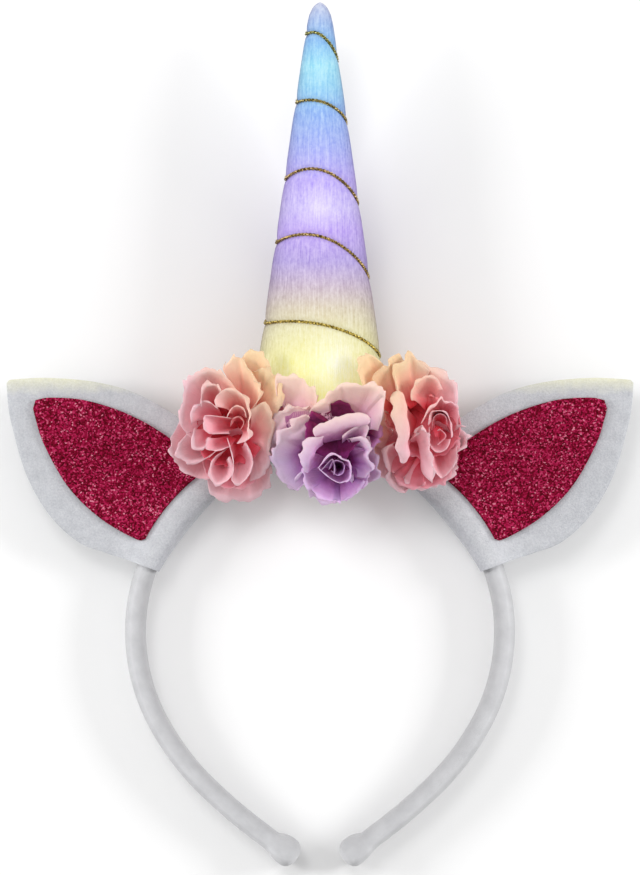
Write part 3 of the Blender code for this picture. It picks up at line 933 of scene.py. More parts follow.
def add_horn():
    builder = bmesh.new()
    around_layer = builder.verts.layers.float.new("around")
    facing_layer = builder.verts.layers.float.new("facing")
    columns, rings = HORN_COLUMNS, HORN_ROWS
    made = bmesh.ops.create_grid(builder, x_segments=columns, y_segments=rings, size=0.5)
    for vertex in made["verts"]:
        around, along = vertex.co.x + 0.5, vertex.co.y + 0.5
        vertex[around_layer] = around
        # How far the point lies towards the top of the horn, nothing on the lower half; the satin
        # paints shade from it.
        vertex[facing_layer] = max(0.0, math.sin(2 * math.pi * around)) ** 0.8
        vertex.co = horn_point(around, along)
    bmesh.ops.remove_doubles(builder, verts=builder.verts, dist=0.03)
    rim = [edge for edge in builder.edges if edge.is_boundary]
    bmesh.ops.holes_fill(builder, edges=rim, sides=0)
    return finish_piece("horn_satin", builder, satin_material, ("horn",))


horn = add_horn()

# %% [markdown]
# ## The gold cord
#
# The cord is two strands of metallic thread twisted together. Each strand is a curve that
# circles the cord's middle line as it goes, half a turn apart from the other, and the curve's
# bevel gives it its thickness.

# %% Wind the cord round the horn
STRAND_RADIUS = 0.34
STRAND_OFFSET = 0.28
TWIST_PITCH = 2.8
CORD_POINTS = 1700


def cord_middle(angle):
    """The cord's middle line, where it lies on the satin."""
    y = cord_height(angle)
    along = y - HORN_BASE_Y
    radius = horn_radius(along) - HORN_GROOVE + STRAND_RADIUS + STRAND_OFFSET + 0.1
    turn = math.radians(angle)
    return Vector((-radius * math.cos(turn), y, horn_axis_z(along) + radius * math.sin(turn)))


def add_cord(material):
    first = -CORD_LEAD_DEG
    last = 180.0 * (2 * len(CORD_PASSES) - 1) + CORD_TAIL_DEG
    wound = last - first
    middles = [cord_middle(first + wound * k / CORD_POINTS) for k in range(CORD_POINTS + 1)]
    curve = bpy.data.curves.new("horn_cord_gold", "CURVE")
    curve.dimensions = "3D"
    curve.bevel_depth = STRAND_RADIUS * MM
    curve.bevel_resolution = 2
    curve.use_fill_caps = True
    for strand in (0.0, math.pi):
        spline = curve.splines.new("POLY")
        spline.points.add(CORD_POINTS)
        travelled = 0.0
        for k, middle in enumerate(middles):
            before, after = middles[max(k - 1, 0)], middles[min(k + 1, CORD_POINTS)]
            travelled += (middle - before).length
            ahead = (after - before).normalized()
            side = ahead.cross(Vector((middle.x, 0.0, middle.z - HORN_BASE_Z))).normalized()
            over = side.cross(ahead)
            twist = 2 * math.pi * travelled / TWIST_PITCH + strand
            point = middle + (side * math.cos(twist) + over * math.sin(twist)) * STRAND_OFFSET
            point.z = max(point.z, STRAND_RADIUS + 0.02)
            spline.points[k].co = (*(point * MM), 1.0)
    curve.materials.append(material)
    cord = bpy.data.objects.new("horn_cord_gold", curve)
    bpy.context.scene.collection.objects.link(cord)
    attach(cord, "root")
    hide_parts("horn_cord")


def gold_finish():
    gold = Finish("gold_thread")
    threads = gold.noise(1700.0, 3.0, 0.7)
    # The threads' tone varies at random: the darkest spots are painted shade and the brightest are
    # painted glints.
    colour = gold.ramp(
        threads,
        (0.40, (0.03, 0.022, 0.004)),
        (0.50, (0.26, 0.19, 0.035)),
        (0.60, (1.0, 0.88, 0.42)),
    )
    # Painted reflection of the horn's glow: yellow near the base, mauve in the middle, green
    # towards the top.
    painted_glow_reflection = gold.ramp(
        up_the_horn(gold),
        (0.15, (1.0, 0.96, 0.50)),
        (0.30, (0.82, 0.68, 0.56)),
        (0.60, (0.78, 0.64, 0.66)),
        (0.85, (0.58, 0.66, 0.54)),
    )
    colour = gold.mix(1.0, colour, painted_glow_reflection, "MULTIPLY")
    normal = gold.bump(threads, 0.6, 0.0003)
    return gold.surface(colour, 0.28, normal, Metallic=0.9)


add_cord(gold_finish())

# %% [markdown]
# ## The roses
#
# Each rose is a bunch of cloth petals. A petal is cut out flat, pressed into a cup, and its edge
# is rolled back and crinkled by hand. Here a petal is a grid that runs from its root, deep in
# the rose, to its rim. The rim is a smooth curve through a few points; beyond it the cloth
# rolls over as a lip. Between them the petal bellies out.

# %% The petal
PETAL_ROWS = 24
COLUMN_WIDTH = 0.8
FEWEST_COLUMNS = 20
MOST_COLUMNS = 64
UNDER_ROWS = 8
PETAL_WALL = 0.18
ROOT_WIDTH = 3.0
HORN_CLEAR = 0.9
CRINKLE_HEIGHT = 2.4
PETAL_SEED_STEP = 7.3
SCALLOP_SIZES = (
    # length_mm of a wave along the rim, height_mm of the wave
    (3.6, 1.0),
    (1.9, 0.7),
)
FOLD_SIZES = (
    # length_mm of a fold along the rim, height_mm of the fold at the rim
    (6.5, 1.3),
    (3.0, 0.9),
)


def keep_off_horn(point):
    """Moves a petal's point out of the horn, whichever way is shorter."""
    along = point.y - HORN_BASE_Y
    radius = horn_radius(max(along, 0.0)) + HORN_CLEAR
    axis_z = horn_axis_z(along)
    away = math.hypot(point.x, point.z - axis_z)
    reach = BAND_RADIUS + BAND_HALF_THICKNESS + GAP
    beside = min(point.x**2, HORN_BASE_RADIUS**2)
    foot = ROUND_Y + math.sqrt(max(reach**2 - beside, 0.0)) - HORN_CLEAR
    if away >= radius or point.y <= foot:
        return point
    if point.y - foot < radius - away:
        return Vector((point.x, foot, point.z))
    share = radius / max(away, 0.001)
    return Vector((point.x * share, point.y, axis_z + (point.z - axis_z) * share))


def petal_point(petal, number, across, along):
    """A point of a petal; along goes from 0 at the root, past the rim, to 1 at the edge."""
    rim, root = petal["rim"], petal["root"]
    lip, belly = petal["lip"], petal["belly"]
    lip_share = petal["lip_share"]
    crest = curve_point(rim, across)
    chord = (rim[-1] - rim[0]).normalized()
    foot = root + chord * ROOT_WIDTH * (across - 0.5)
    wall = crest - foot
    out = petal["out"]
    down = wall.cross(chord)
    down.normalize()
    if down.dot(out - UP) < 0:
        down = -down
    share = min(along / (1.0 - lip_share), 1.0)
    point = foot + wall * share + down * belly * math.sin(math.pi * share**1.15)
    past = max(0.0, along - (1.0 - lip_share)) / lip_share
    side = math.sin(math.pi * min(max(across, 0.0), 1.0)) ** 0.5
    travelled = across * petal["rim_length"]
    ahead = wall.normalized()
    if past > 0.0:
        length = lip * (0.5 + 0.5 * side)
        turn = math.radians(petal["turn_deg"]) * past
        full = math.radians(petal["turn_deg"])
        curled = (ahead * math.sin(turn) + down * (1.0 - math.cos(turn))) * length / full
        edge_way = ahead * math.cos(turn) + down * math.sin(turn)
        for size, height in SCALLOP_SIZES:
            seed = Vector((number * PETAL_SEED_STEP, travelled / size, 0.5))
            curled += edge_way * past**2 * height * petal["ruffle"] * noise.noise(seed)
        point += curled
    crinkle = petal["crinkle"] * CRINKLE_HEIGHT * along**1.6
    for size, height in FOLD_SIZES:
        seed = Vector((number * PETAL_SEED_STEP, travelled / size, along * 2.2 / size))
        point += (down + UP * 0.4) * crinkle * height * noise.noise(seed)
    return keep_off_horn(point)


# %% [markdown]
# The petals' colour is deep at the root and pale towards the edge: partly how the cloth is
# dyed and partly painted shade deep in the rose. A slightly darker line at the edge itself is
# painted shade. Each petal carries its own shares along and across as attributes, so the colour
# follows it however it is bent. The horn's glow is painted on as a warm tint on the petals near it.

# %% The petals' cloth
GLOW_CENTRE = (2.0, 113.0, 45.0)
GLOW_REACH = 63.0


def petal_finish(name, stops, warm):
    cloth = Finish(name)
    along = cloth.attribute("along")
    clouds = cloth.noise(260.0, 2.0, 0.55)
    shifted = cloth.math("MULTIPLY_ADD", clouds, 0.22, -0.11)
    # Partly how the cloth is dyed and partly painted shade: the colour deepens towards the root,
    # with a slightly darker line of painted shade at the edge.
    dye_and_shade = cloth.math("ADD", along, shifted)
    colour = cloth.ramp(dye_and_shade, *stops)
    # Painted glow of the horn: a warm tint on the petals near it.
    near = cloth.distance(GLOW_CENTRE, GLOW_REACH)
    share = cloth.ramp(near, (0.5, (0.95, 0.95, 0.95)), (0.88, (0.0, 0.0, 0.0)))
    tinted = cloth.mix(share, colour, cloth.mix(1.0, colour, warm, "MULTIPLY"))
    across = cloth.math("MULTIPLY", cloth.attribute("across"), 26.0)
    spread = cloth.node("ShaderNodeCombineXYZ")
    cloth.link(across, spread.inputs["X"])
    cloth.link(cloth.math("MULTIPLY", along, 3.0), spread.inputs["Y"])
    veins = cloth.noise(1.0, 3.0, 0.65, spread.outputs["Vector"])
    weave = cloth.noise(3200.0, 2.0, 0.6)
    normal = cloth.bump(veins, 0.45, 0.0007)
    normal = cloth.bump(weave, 0.18, 0.00012, normal)
    fixed = {
        "Sheen_Weight": 0.1,
        "Specular_IOR_Level": 0.15,
        "Subsurface_Weight": 0.3,
        "Subsurface_Scale": 0.003,
        "Subsurface_Radius": (1.0, 0.5, 0.5),
    }
    return cloth.surface(tinted, 0.85, normal, **fixed)


pink_material = petal_finish(
    "pink_petals",
    (
        (0.0, (0.60, 0.012, 0.025)),
        (0.13, (0.76, 0.07, 0.11)),
        (0.3, (0.85, 0.22, 0.28)),
        (0.5, (0.87, 0.38, 0.44)),
        (0.8, (0.86, 0.50, 0.55)),
        (1.0, (0.81, 0.47, 0.52)),
    ),
    (1.05, 1.2, 0.62),
)
purple_material = petal_finish(
    "purple_petals",
    (
        (0.0, (0.06, 0.002, 0.03)),
        (0.14, (0.22, 0.02, 0.18)),
        (0.32, (0.50, 0.19, 0.54)),
        (0.58, (0.68, 0.40, 0.72)),
        (0.85, (0.76, 0.53, 0.77)),
        (1.0, (0.72, 0.50, 0.72)),
    ),
    (1.25, 1.2, 0.68),
)

# %% [markdown]
# One rose is a list of petals, from the back ones to the heart. Each row gives the whorl that
# the petal belongs to, its rim as points of the photograph with their heights, its root, and
# how long its lip is, how far it turns, how deep the belly is and how crinkled the cloth is.

# %% The petals of the left rose
LEFT_ROSE = {
    "name": "rose_left",
    "heart": (238, 424),
    # photo_x, photo_y, reach_mm, root_z_mm, rim_z_mm, dye_and_shade: lower paints the petals darker
    # as shade
    "under": ((228, 432, 11.5, 24.0, 32.0, 0.2), (232, 458, 10.5, 20.0, 27.0, 0.5)),
    "petals": (
        # whorl, rim points (photo_x, photo_y, height_mm), root, lip, turn_deg, belly, crinkle
        ("outer",
         ((239, 366, 40), (248.7, 356.5, 41), (259.9, 357.5, 42), (268, 366, 42.5),
          (272, 379, 42)),
         (246, 412, 36), 2.0, 60, 0.6, 0.5),
        ("outer",
         ((252, 373, 41), (263, 371, 43), (270, 377, 43), (277, 384, 43.5), (279.5, 394, 43.5),
          (279.5, 406, 42), (272, 421, 38)),
         (250, 417, 36), 1.8, 60, 0.8, 0.55),
        ("outer",
         ((186, 418, 33), (174, 437, 31), (174, 453, 28), (181, 464, 26), (196, 476, 25),
          (211, 477, 25)),
         (224, 446, 19), 2.0, 60, 2.4, 0.35),
        ("outer",
         ((208.9, 478, 23), (214, 491, 21.5), (236.4, 496, 21), (255, 493, 21.5),
          (266, 480.7, 24), (270, 464, 28)),
         (240, 452, 18), 2.4, 70, 1.8, 0.6),
        ("outer",
         ((222, 372, 38), (229, 366, 40), (236.4, 359.5, 42), (243, 366, 43), (251, 371, 43.5),
          (256.5, 382, 44), (260, 394, 44), (257, 404, 43), (252, 411, 41)),
         (243, 421, 35), 1.6, 50, 1.2, 0.4),
        ("outer",
         ((253, 411, 42), (261, 405, 43), (267, 412, 42), (271, 423, 40), (270.5, 434, 38),
          (268.5, 447, 36), (269, 455, 34), (265, 465, 32), (258, 474, 30), (250, 480, 29)),
         (247, 442, 29), 1.8, 80, 0.8, 0.6),
        ("outer",
         ((192, 431, 36), (183, 443, 34), (184, 455, 32), (195, 460, 31.5), (208, 457, 32),
          (218, 450, 33)),
         (222, 438, 23), 1.6, 60, 2.2, 0.3),
        ("outer",
         ((240, 396, 43), (229, 381, 44), (218, 373.5, 43.5), (205.8, 374, 42.5),
          (194, 380, 41.5), (188.5, 386, 40.5), (186, 402, 39.5), (184, 416.4, 38),
          (186, 428.7, 36.5), (194, 437.4, 35.5)),
         (223, 416, 29), 2.0, 60, 2.2, 0.35),
        ("middle",
         ((226, 450, 37), (217, 456, 36.5), (212, 466, 36), (212.5, 477, 35), (218, 482.5, 34.5),
          (226, 480.5, 35), (232.5, 474, 36), (234, 466, 37), (231, 456, 38)),
         (225, 458, 27), 1.2, 80, 1.0, 0.2),
        ("middle",
         ((228, 438, 40.5), (231, 452, 39.5), (234, 466, 38), (232.5, 479, 35.5), (240, 483, 34),
          (249, 474, 35.5), (253, 462, 37), (251, 451, 38.5), (245, 443, 39.5)),
         (238, 444, 29), 1.3, 80, 1.2, 0.3),
        ("middle",
         ((201, 402, 41.5), (204, 391, 42.5), (210, 387, 43), (217, 387, 43.5), (223, 393, 44)),
         (219, 409, 33), 1.4, 80, 1.5, 0.25),
        ("middle",
         ((193, 424, 39), (194.5, 412, 41), (203, 403.5, 42), (211, 402.7, 42.8),
          (218, 407, 43.2)),
         (221, 421, 32), 1.6, 80, 1.6, 0.3),
        ("middle",
         ((196, 428, 40), (195.5, 437, 39.5), (198, 446.5, 39), (207, 445.5, 39.5),
          (209, 437, 40)),
         (213, 429, 32), 1.0, 70, 1.0, 0.3),
        ("middle",
         ((217, 407, 44.5), (219, 397, 45), (226, 391, 45.5), (234, 391.5, 45.5),
          (240, 396, 45.5), (246, 401, 45), (249.5, 408, 44.5), (251.5, 415, 44),
          (249, 423, 43.5), (247.6, 430, 43), (249, 437, 42.5), (245, 441, 42), (238, 443, 41.5)),
         (237, 424, 31), 2.2, 110, 2.0, 0.5),
        ("inner",
         ((230, 447, 40), (222, 449, 40.5), (214, 450, 40.5), (207.5, 448, 41),
          (209, 437.5, 41.5)),
         (233, 437, 32), 0.8, 60, 0.8, 0.25),
        ("inner",
         ((229, 433, 42), (214, 434, 43), (208.5, 432, 43.5), (206, 424, 44), (206.5, 417, 44.3),
          (216, 416.5, 44.6), (232, 418.5, 43)),
         (239, 424, 30), 0.9, 70, 0.8, 0.2),
        ("inner",
         ((229, 413, 43), (233, 407.5, 43.8), (239, 406.5, 44), (245, 411, 44), (247, 418, 43.5)),
         (239, 424, 31), 1.2, 90, 1.5, 0.25),
        ("bud",
         ((232, 425, 40), (234, 418, 40.5), (241, 416.5, 40.5), (244.5, 423, 40),
          (241, 430, 39.5)),
         (239, 424, 31), 0.8, 80, 1.2, 0.2),
    ),
}

# %% The petals of the purple rose
CENTRE_ROSE = {
    "name": "rose_centre",
    "heart": (336, 465),
    # photo_x, photo_y, reach_mm, root_z_mm, rim_z_mm, dye_and_shade: lower paints the petals darker
    # as shade
    "under": (
        (337, 470, 11.0, 26.0, 36.0, 0.75),
        (318, 442, 9.0, 21.0, 27.0, 0.08),
        (298, 458, 8.0, 19.0, 25.0, 0.4),
        (298, 428, 8.0, 26.0, 33.0, 0.3),
        (334, 430, 9.5, 40.0, 43.5, 0.08),
        (362, 432, 6.0, 38.0, 42.0, 0.45),
    ),
    "petals": (
        ("outer",
         ((277, 396, 43), (277, 381, 44), (288, 379.6, 44.5), (301.3, 380, 45), (308, 387, 45.5),
          (315, 393, 45.5), (317.5, 400, 45)),
         (302, 440, 34), 1.2, 50, 1.0, 0.3),
        ("outer",
         ((309, 406, 44), (297.7, 408, 42), (287, 411.5, 41), (279, 419, 39.5), (274.6, 427, 38),
          (272.3, 438, 36), (271.8, 446, 33.5), (271.8, 457, 31)),
         (307, 434, 28), 1.6, 80, -1.0, 0.6),
        ("outer",
         ((365, 437, 43), (371, 445, 41), (374.5, 453, 38.5), (376.5, 465, 35.5),
          (379, 474, 32.5), (369, 481, 29.5), (354, 486, 27.5)),
         (348, 466, 24), 1.8, 70, 2.0, 0.5),
        ("outer",
         ((308, 469, 36), (301, 475, 32.5), (297, 484, 28), (294, 488, 26), (302, 489, 25.5)),
         (318, 466, 24), 1.4, 70, 1.2, 0.5),
        ("outer",
         ((306.5, 474, 33), (309.5, 486, 30), (316.5, 495, 28), (325, 500.5, 26.5),
          (335.2, 501.5, 26), (344.5, 497.5, 27), (350, 490, 29), (351.5, 482, 32),
          (352.5, 474, 34)),
         (332, 470, 22), 1.8, 70, 3.0, 0.4),
        ("outer",
         ((311, 408, 46), (323.6, 405, 46.8), (328, 397, 47.8), (336, 392, 48.8),
          (345, 387, 49.8), (358.4, 387, 50.8), (372.6, 388, 51), (380, 394, 51), (382, 401, 50),
          (381, 413, 48.5), (377, 430, 46)),
         (344, 440, 36), 1.8, 60, 2.2, 0.6),
        ("outer",
         ((311, 418, 44.5), (307, 416, 45), (299.5, 421.5, 44), (295, 429, 43), (285, 435, 42),
          (282, 442, 40.5), (277.3, 449, 38.5), (276, 457, 36.5), (280, 466, 33.5),
          (283, 475, 31.5), (290, 484, 29.5), (298, 489, 28), (305, 485, 28)),
         (305, 449, 28), 1.4, 90, -2.4, 0.7),
        ("middle",
         ((342, 438, 47.5), (351, 428.5, 48.5), (360, 425.5, 49), (366, 426, 49),
          (367.5, 431, 48.5), (365, 438, 47.5)),
         (346, 450, 38), 1.4, 70, 1.0, 0.4),
        ("middle",
         ((350, 438, 47), (360, 440, 47), (366, 447, 46), (367, 451, 45.3), (365.5, 456, 44.7),
          (368, 464, 43.2), (371, 469, 42), (367, 472, 41.5), (363.5, 477, 39.5),
          (357, 476, 38.5)),
         (347, 460, 34), 1.4, 80, 1.4, 0.5),
        ("middle",
         ((315.6, 437, 49), (322.7, 432.5, 49.8), (333.4, 429.8, 50.4), (342.4, 427, 50.8),
          (355.8, 425.4, 51), (368.3, 423.6, 50.2)),
         (339, 456, 34), 6.0, 105, 1.6, 0.5),
        ("middle",
         ((321.8, 436.5, 49), (316, 446, 48), (312, 456, 47), (309.5, 464, 45), (308, 472, 41)),
         (330, 463, 31), 4.4, 110, 1.4, 0.4),
        ("inner",
         ((351, 466, 46.5), (350, 477, 45.5), (343, 482, 45), (335, 481, 45), (326, 476, 45.5),
          (319, 469, 46)),
         (337, 466, 32), 1.0, 80, 1.6, 0.25),
        ("inner",
         ((318, 468, 47), (326, 459, 48.5), (334, 455.5, 49.3), (341, 460, 49.2),
          (349, 463, 48.6), (351, 472, 47.6)),
         (336, 466, 33), 1.0, 80, 1.6, 0.25),
        ("inner",
         ((321, 470, 45), (326, 464, 46), (332, 459, 47), (334, 465, 46), (334, 474, 45)),
         (333, 470, 34), 0.7, 70, 0.8, 0.2),
        ("bud",
         ((329, 469, 45.5), (332, 462, 46.5), (338, 461, 46.6), (343.5, 464, 46), (343, 472, 45),
          (337, 475, 44.5)),
         (337, 467, 34), 0.7, 80, 0.9, 0.2),
        ("bud",
         ((345, 465, 45.6), (343, 472, 44.8), (337, 474.5, 44.4), (331, 470, 44.8)),
         (338, 467, 36), 0.6, 80, 0.6, 0.2),
    ),
}

# %% The petals of the right rose
RIGHT_ROSE = {
    "name": "rose_right",
    "heart": (437, 418),
    # photo_x, photo_y, reach_mm, root_z_mm, rim_z_mm, dye_and_shade: lower paints the petals darker
    # as shade
    "under": (
        (428, 424, 11.5, 24.0, 32.0, 0.35),
        (420, 452, 12.5, 20.0, 28.0, 0.5),
        (410, 410, 9.5, 30.0, 36.0, 0.4),
    ),
    "petals": (
        ("outer",
         ((388, 412, 37), (382, 415, 36), (375.5, 428, 34), (372, 443.9, 31), (374.5, 454, 29),
          (377.4, 471, 27), (389.5, 478.4, 26)),
         (402, 448, 19), 1.8, 70, 2.0, 0.4),
        ("outer",
         ((363, 388, 45), (359, 374, 45), (364.5, 361.5, 44.5), (369, 357.5, 43.5),
          (376, 360, 42.5), (383, 366, 41)),
         (393, 412, 36), 1.8, 70, 1.0, 0.35),
        ("outer",
         ((373.5, 385, 44), (375, 376, 44.5), (383, 369, 44), (388, 367.7, 43.5),
          (390.5, 362, 42.5), (397.4, 355.5, 41.5), (403.5, 364.8, 40.5)),
         (400, 408, 37), 1.8, 70, 1.0, 0.4),
        ("outer",
         ((412, 363, 40.5), (420, 366, 41), (434, 375, 41), (447.8, 382.6, 40),
          (452.5, 390.5, 39), (453.7, 403, 37), (453, 412, 36)),
         (428, 412, 34), 2.0, 70, 1.2, 0.35),
        ("outer",
         ((452, 424, 33), (461, 433, 30), (464, 439, 28.5), (460, 446, 28), (456, 451, 27.5),
          (456.5, 457, 27), (452.6, 466, 26.5), (450, 471, 26), (442, 480, 25.5), (431, 485, 25),
          (417, 487, 24.5)),
         (430, 448, 20), 2.0, 70, 2.4, 0.5),
        ("outer",
         ((391, 443, 37), (387.5, 450, 35.5), (389, 460, 33.5), (391.5, 469, 31),
          (391, 477, 28.5), (395, 485, 26), (404, 490.6, 24.5), (409, 486, 25)),
         (411, 453, 21), 2.2, 90, 2.4, 0.5),
        ("outer",
         ((398, 394, 44), (394.6, 378, 44.8), (397, 370, 44.3), (406.3, 365, 43.5),
          (410.7, 356.5, 42.5), (419, 365.8, 42), (429, 373, 41)),
         (413, 407, 37), 1.8, 80, 1.0, 0.35),
        ("middle",
         ((411, 401, 43.5), (410.5, 391.5, 44), (416, 384, 44), (425, 378.5, 43.5),
          (436, 381.5, 43), (441, 390, 42.5)),
         (430, 411, 33), 1.6, 90, 1.8, 0.4),
        ("middle",
         ((403, 478, 29), (412, 484.5, 27), (420, 486, 26), (431, 485, 26), (440, 480, 27)),
         (424, 452, 21), 1.4, 70, 1.6, 0.4),
        ("middle",
         ((430, 457, 40), (433, 470, 37.5), (441, 477, 34), (449, 469, 34), (454.5, 458, 35),
          (455.5, 446, 37)),
         (437, 446, 28), 1.6, 80, 1.6, 0.35),
        ("middle",
         ((412, 437, 43.5), (417, 430, 45), (422, 425, 46.5), (425, 431, 46.5), (427.5, 440, 46),
          (429, 449, 45), (431, 464, 42.5), (431.5, 482, 37)),
         (421, 445, 27), 1.0, 100, 2.6, 0.25),
        ("middle",
         ((401.3, 394, 47.5), (404.3, 402, 48), (405.8, 415, 48.2), (406.8, 430, 48),
          (405.8, 441, 47), (407.5, 452, 45), (405.5, 460, 43)),
         (419, 426, 30), 7.2, 118, 1.6, 0.9),
        ("inner",
         ((420, 424, 45.5), (427, 412, 46.5), (434, 408, 46.6), (440, 401, 46),
          (444, 404.5, 45.5), (450, 404.5, 45), (456, 408, 44), (457, 415, 43), (456, 425, 41)),
         (440, 419, 31), 1.6, 90, 1.8, 0.4),
        ("inner",
         ((449, 439, 43), (445, 449, 43), (437, 451.5, 43), (431.5, 448.5, 43.5),
          (428.5, 440, 44.5), (427.5, 428, 45.5)),
         (438, 426, 32), 1.3, 90, 1.6, 0.3),
        ("inner",
         ((427.5, 425, 45.5), (428.5, 415, 46), (434, 411.5, 46.4), (443.5, 412.5, 46),
          (448.5, 420, 45.5), (449.5, 429, 45), (450, 438, 44)),
         (438, 421, 32), 1.0, 90, 1.4, 0.25),
        ("bud",
         ((437, 431, 44), (438.5, 429.3, 44.6), (444.5, 436.5, 44), (436, 444.5, 43.5)),
         (439, 434, 36), 0.6, 60, 0.5, 0.15),
        ("bud",
         ((431, 424, 43), (433, 416.5, 44), (439, 414, 44.3), (445, 418, 44), (446, 425, 43.4)),
         (439, 421, 33), 0.8, 80, 0.9, 0.2),
    ),
}

# %% [markdown]
# All the petals of one whorl form one piece, which takes the place of that whorl's plain solid.
# The cloth is given its thickness on both sides of the petal by a Solidify modifier.

# %% Sew the roses
LIP_SHARE = 0.16
LONG_LIP_SHARE = 0.4
LONG_LIP = 3.0
RUFFLE = {"outer": 2.2, "middle": 1.8, "inner": 1.1, "bud": 0.6}
LIP_SIZE = {"outer": 0.85, "middle": 0.65, "inner": 0.3, "bud": 0.3}
# Painted shade: the inner whorls and the bud go only part way towards pale, so their lit edges stay
# darker.
EDGE_SHADE = {"outer": 1.0, "middle": 0.9, "inner": 0.74, "bud": 0.55}
UNDER_PETALS = 6
UNDER_STEPS = (-1.0, -0.5, 0.0, 0.5, 1.0)
UNDER_OVERLAP = 0.62
UNDER_STAGGER = 0.8
RIM_STEPS = 20


def petal_from(row, heart):
    """The values of one petal in the model's frame."""
    whorl, rim, root, lip, turn_deg, belly, crinkle = row
    lip *= 1.0 if lip > LONG_LIP else LIP_SIZE[whorl]
    rim_points = [from_photo(*point) for point in rim]
    root_point = from_photo(*root)
    middle = curve_point(rim_points, 0.5)
    out = Vector((middle.x - heart.x, middle.y - heart.y, 0.0))
    steps = [curve_point(rim_points, k / RIM_STEPS) for k in range(RIM_STEPS + 1)]
    return {
        "rim": rim_points,
        "root": root_point,
        "out": out.normalized(),
        "lip": lip,
        "turn_deg": turn_deg,
        "belly": belly,
        "crinkle": crinkle,
        "rim_length": sum((b - a).length for a, b in zip(steps, steps[1:])),
        "ruffle": RUFFLE[whorl],
        "edge_shade": EDGE_SHADE[whorl],
        "lip_share": LONG_LIP_SHARE if lip > LONG_LIP else LIP_SHARE,
    }


def add_petal(builder, petal, number, dye_and_shade):
    along_layer = builder.verts.layers.float.get("along")
    across_layer = builder.verts.layers.float.get("across")
    columns = int(min(max(petal["rim_length"] / COLUMN_WIDTH, FEWEST_COLUMNS), MOST_COLUMNS))
    rows = PETAL_ROWS if dye_and_shade == 1.0 else UNDER_ROWS
    made = bmesh.ops.create_grid(builder, x_segments=columns, y_segments=rows, size=0.5)
    for vertex in made["verts"]:
        across, along = vertex.co.x + 0.5, vertex.co.y + 0.5
        # The colour's place on the ramp, lowered as painted shade for the deep petals and the inner
        # whorls.
        vertex[along_layer] = along * dye_and_shade * petal["edge_shade"]
        vertex[across_layer] = across
        vertex.co = petal_point(petal, number, across, along)


def under_petals(rose):
    """Deep petals round the heart, which close the rose between the ones that show; painted shade
    makes them darker.
    """
    rows = []
    for photo_x, photo_y, reach, root_z, rim_z, dye_and_shade in rose["under"]:
        for k in range(UNDER_PETALS):
            rim = []
            for step in UNDER_STEPS:
                angle = 2 * math.pi * (k + UNDER_OVERLAP * step) / UNDER_PETALS
                x = photo_x + reach * math.cos(angle) / MM_PER_PIXEL
                y = photo_y + reach * math.sin(angle) / MM_PER_PIXEL
                height = rim_z + UNDER_STAGGER * (k % 2) - UNDER_STAGGER * step
                rim.append((x, y, height))
            row = ("middle", rim, (photo_x, photo_y, root_z), 0.8, 40, 1.0, 0.2)
            rows.append((row, dye_and_shade))
    return rows


def add_rose(rose, material):
    heart = from_photo(*rose["heart"], 0.0)
    rows = [*((row, 1.0) for row in rose["petals"]), *under_petals(rose)]
    for whorl in ("outer", "middle", "inner", "bud"):
        builder = bmesh.new()
        builder.verts.layers.float.new("along")
        builder.verts.layers.float.new("across")
        for number, (row, dye_and_shade) in enumerate(rows):
            if row[0] == whorl:
                add_petal(builder, petal_from(row, heart), number, dye_and_shade)
        node = rose["name"] + "_" + whorl
        piece = finish_piece(node + "_petals", builder, material, (node,), turn_out=False)
        wall = piece.modifiers.new("wall", "SOLIDIFY")
        wall.thickness = PETAL_WALL * MM
        wall.offset = 0.0
        print(node, "petals' faces:", len(piece.data.polygons))


add_rose(LEFT_ROSE, pink_material)
add_rose(CENTRE_ROSE, purple_material)
add_rose(RIGHT_ROSE, pink_material)

# %% [markdown]
# ## The surface, the light and the camera
#
# The headband lies on a plain pale surface under soft studio light. The camera looks straight
# down with a long lens, so that it sees the front as the photograph does.

# %% Surface
def add_floor():
    builder = bmesh.new()
    bmesh.ops.create_grid(builder, x_segments=1, y_segments=1, size=3.0)
    mesh = bpy.data.meshes.new("surface")
    builder.to_mesh(mesh)
    builder.free()
    paper = Finish("pale_paper")
    grain = paper.noise(40.0, 2.0)
    colour = paper.ramp(grain, (0.0, (0.90, 0.90, 0.90)), (1.0, (0.92, 0.92, 0.92)))
    mesh.materials.append(paper.surface(colour, 0.9, Specular_IOR_Level=0.1))
    surface = bpy.data.objects.new("surface", mesh)
    bpy.context.scene.collection.objects.link(surface)
    surface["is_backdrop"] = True


add_floor()

# %% Light
bpy.context.scene.view_settings.view_transform = "Standard"


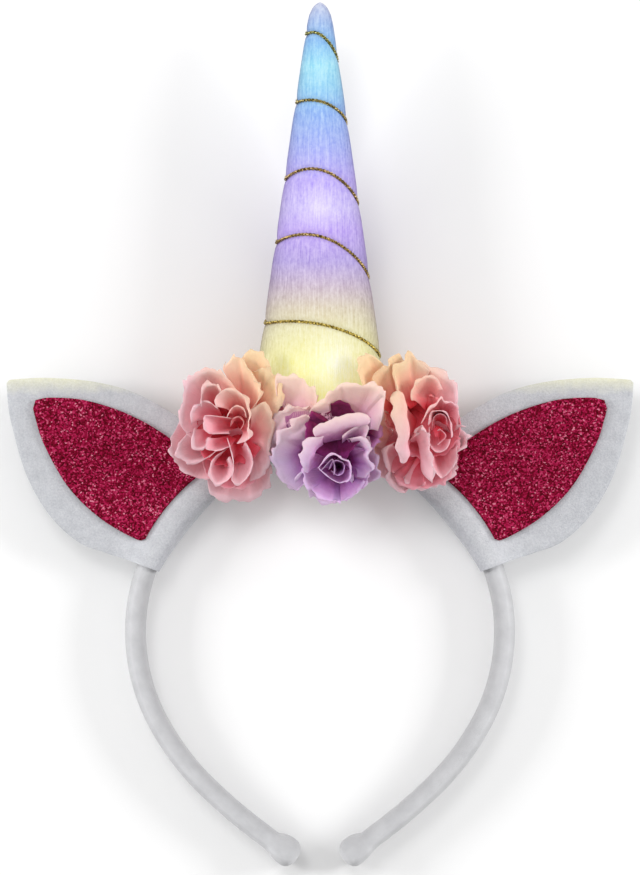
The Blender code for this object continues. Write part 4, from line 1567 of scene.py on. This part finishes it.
def add_area_light(name, place, target, size, power, colour=(1.0, 1.0, 1.0)):
    """A soft square light at a place, turned towards a target."""
    light = bpy.data.lights.new(name, "AREA")
    light.size = size
    light.energy = power
    light.color = colour
    lamp = bpy.data.objects.new(name, light)
    bpy.context.scene.collection.objects.link(lamp)
    lamp.location = place
    lamp.rotation_euler = (Vector(target) - Vector(place)).to_track_quat("-Z", "Y").to_euler()


def add_sky(strength):
    world = bpy.data.worlds.new("studio")
    world.use_nodes = True
    world.node_tree.nodes["Background"].inputs["Color"].default_value = (1.0, 1.0, 1.0, 1.0)
    world.node_tree.nodes["Background"].inputs["Strength"].default_value = strength
    bpy.context.scene.world = world


add_sky(0.62)
add_area_light("key", (-0.5, 0.9, 1.8), (0.0, 0.0, 0.0), 0.7, 7.0)
add_area_light("side_left", (-1.5, 0.3, 0.75), (0.0, 0.0, 0.0), 0.6, 15.0)
add_area_light("side_right", (1.5, 0.3, 0.75), (0.0, 0.0, 0.0), 0.6, 15.0)

# %% Camera
CAMERA_HEIGHT = 3.0
FOCUS_HEIGHT = 0.015
SENSOR = 36.0


def add_camera():
    camera = bpy.data.cameras.new("camera")
    camera.sensor_fit = "VERTICAL"
    camera.sensor_height = SENSOR
    camera.sensor_width = SENSOR
    seen = PHOTO_HEIGHT * MM_PER_PIXEL * MM
    camera.lens = SENSOR * (CAMERA_HEIGHT - FOCUS_HEIGHT) / seen
    camera.clip_end = 20.0
    camera.dof.use_dof = False
    viewer = bpy.data.objects.new("camera", camera)
    bpy.context.scene.collection.objects.link(viewer)
    middle = from_photo(PHOTO_WIDTH / 2, PHOTO_HEIGHT / 2, CAMERA_HEIGHT / MM) * MM
    viewer.location = middle
    bpy.context.scene.camera = viewer


add_camera()

# %% [markdown]
# Last, the boxes of the plain model and of the finished one are written down, so that the two
# can be compared: cloth may stand a little proud of its solid.

# %% Measure and finish
bpy.context.view_layer.update()
visual_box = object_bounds()
sizes = {
    "cad": [list(corner) for corner in cad_box],
    "visual": [list(corner) for corner in visual_box],
}
for name, corners in sizes.items():
    print(name, [[round(value / MM, 1) for value in corner] for corner in corners])
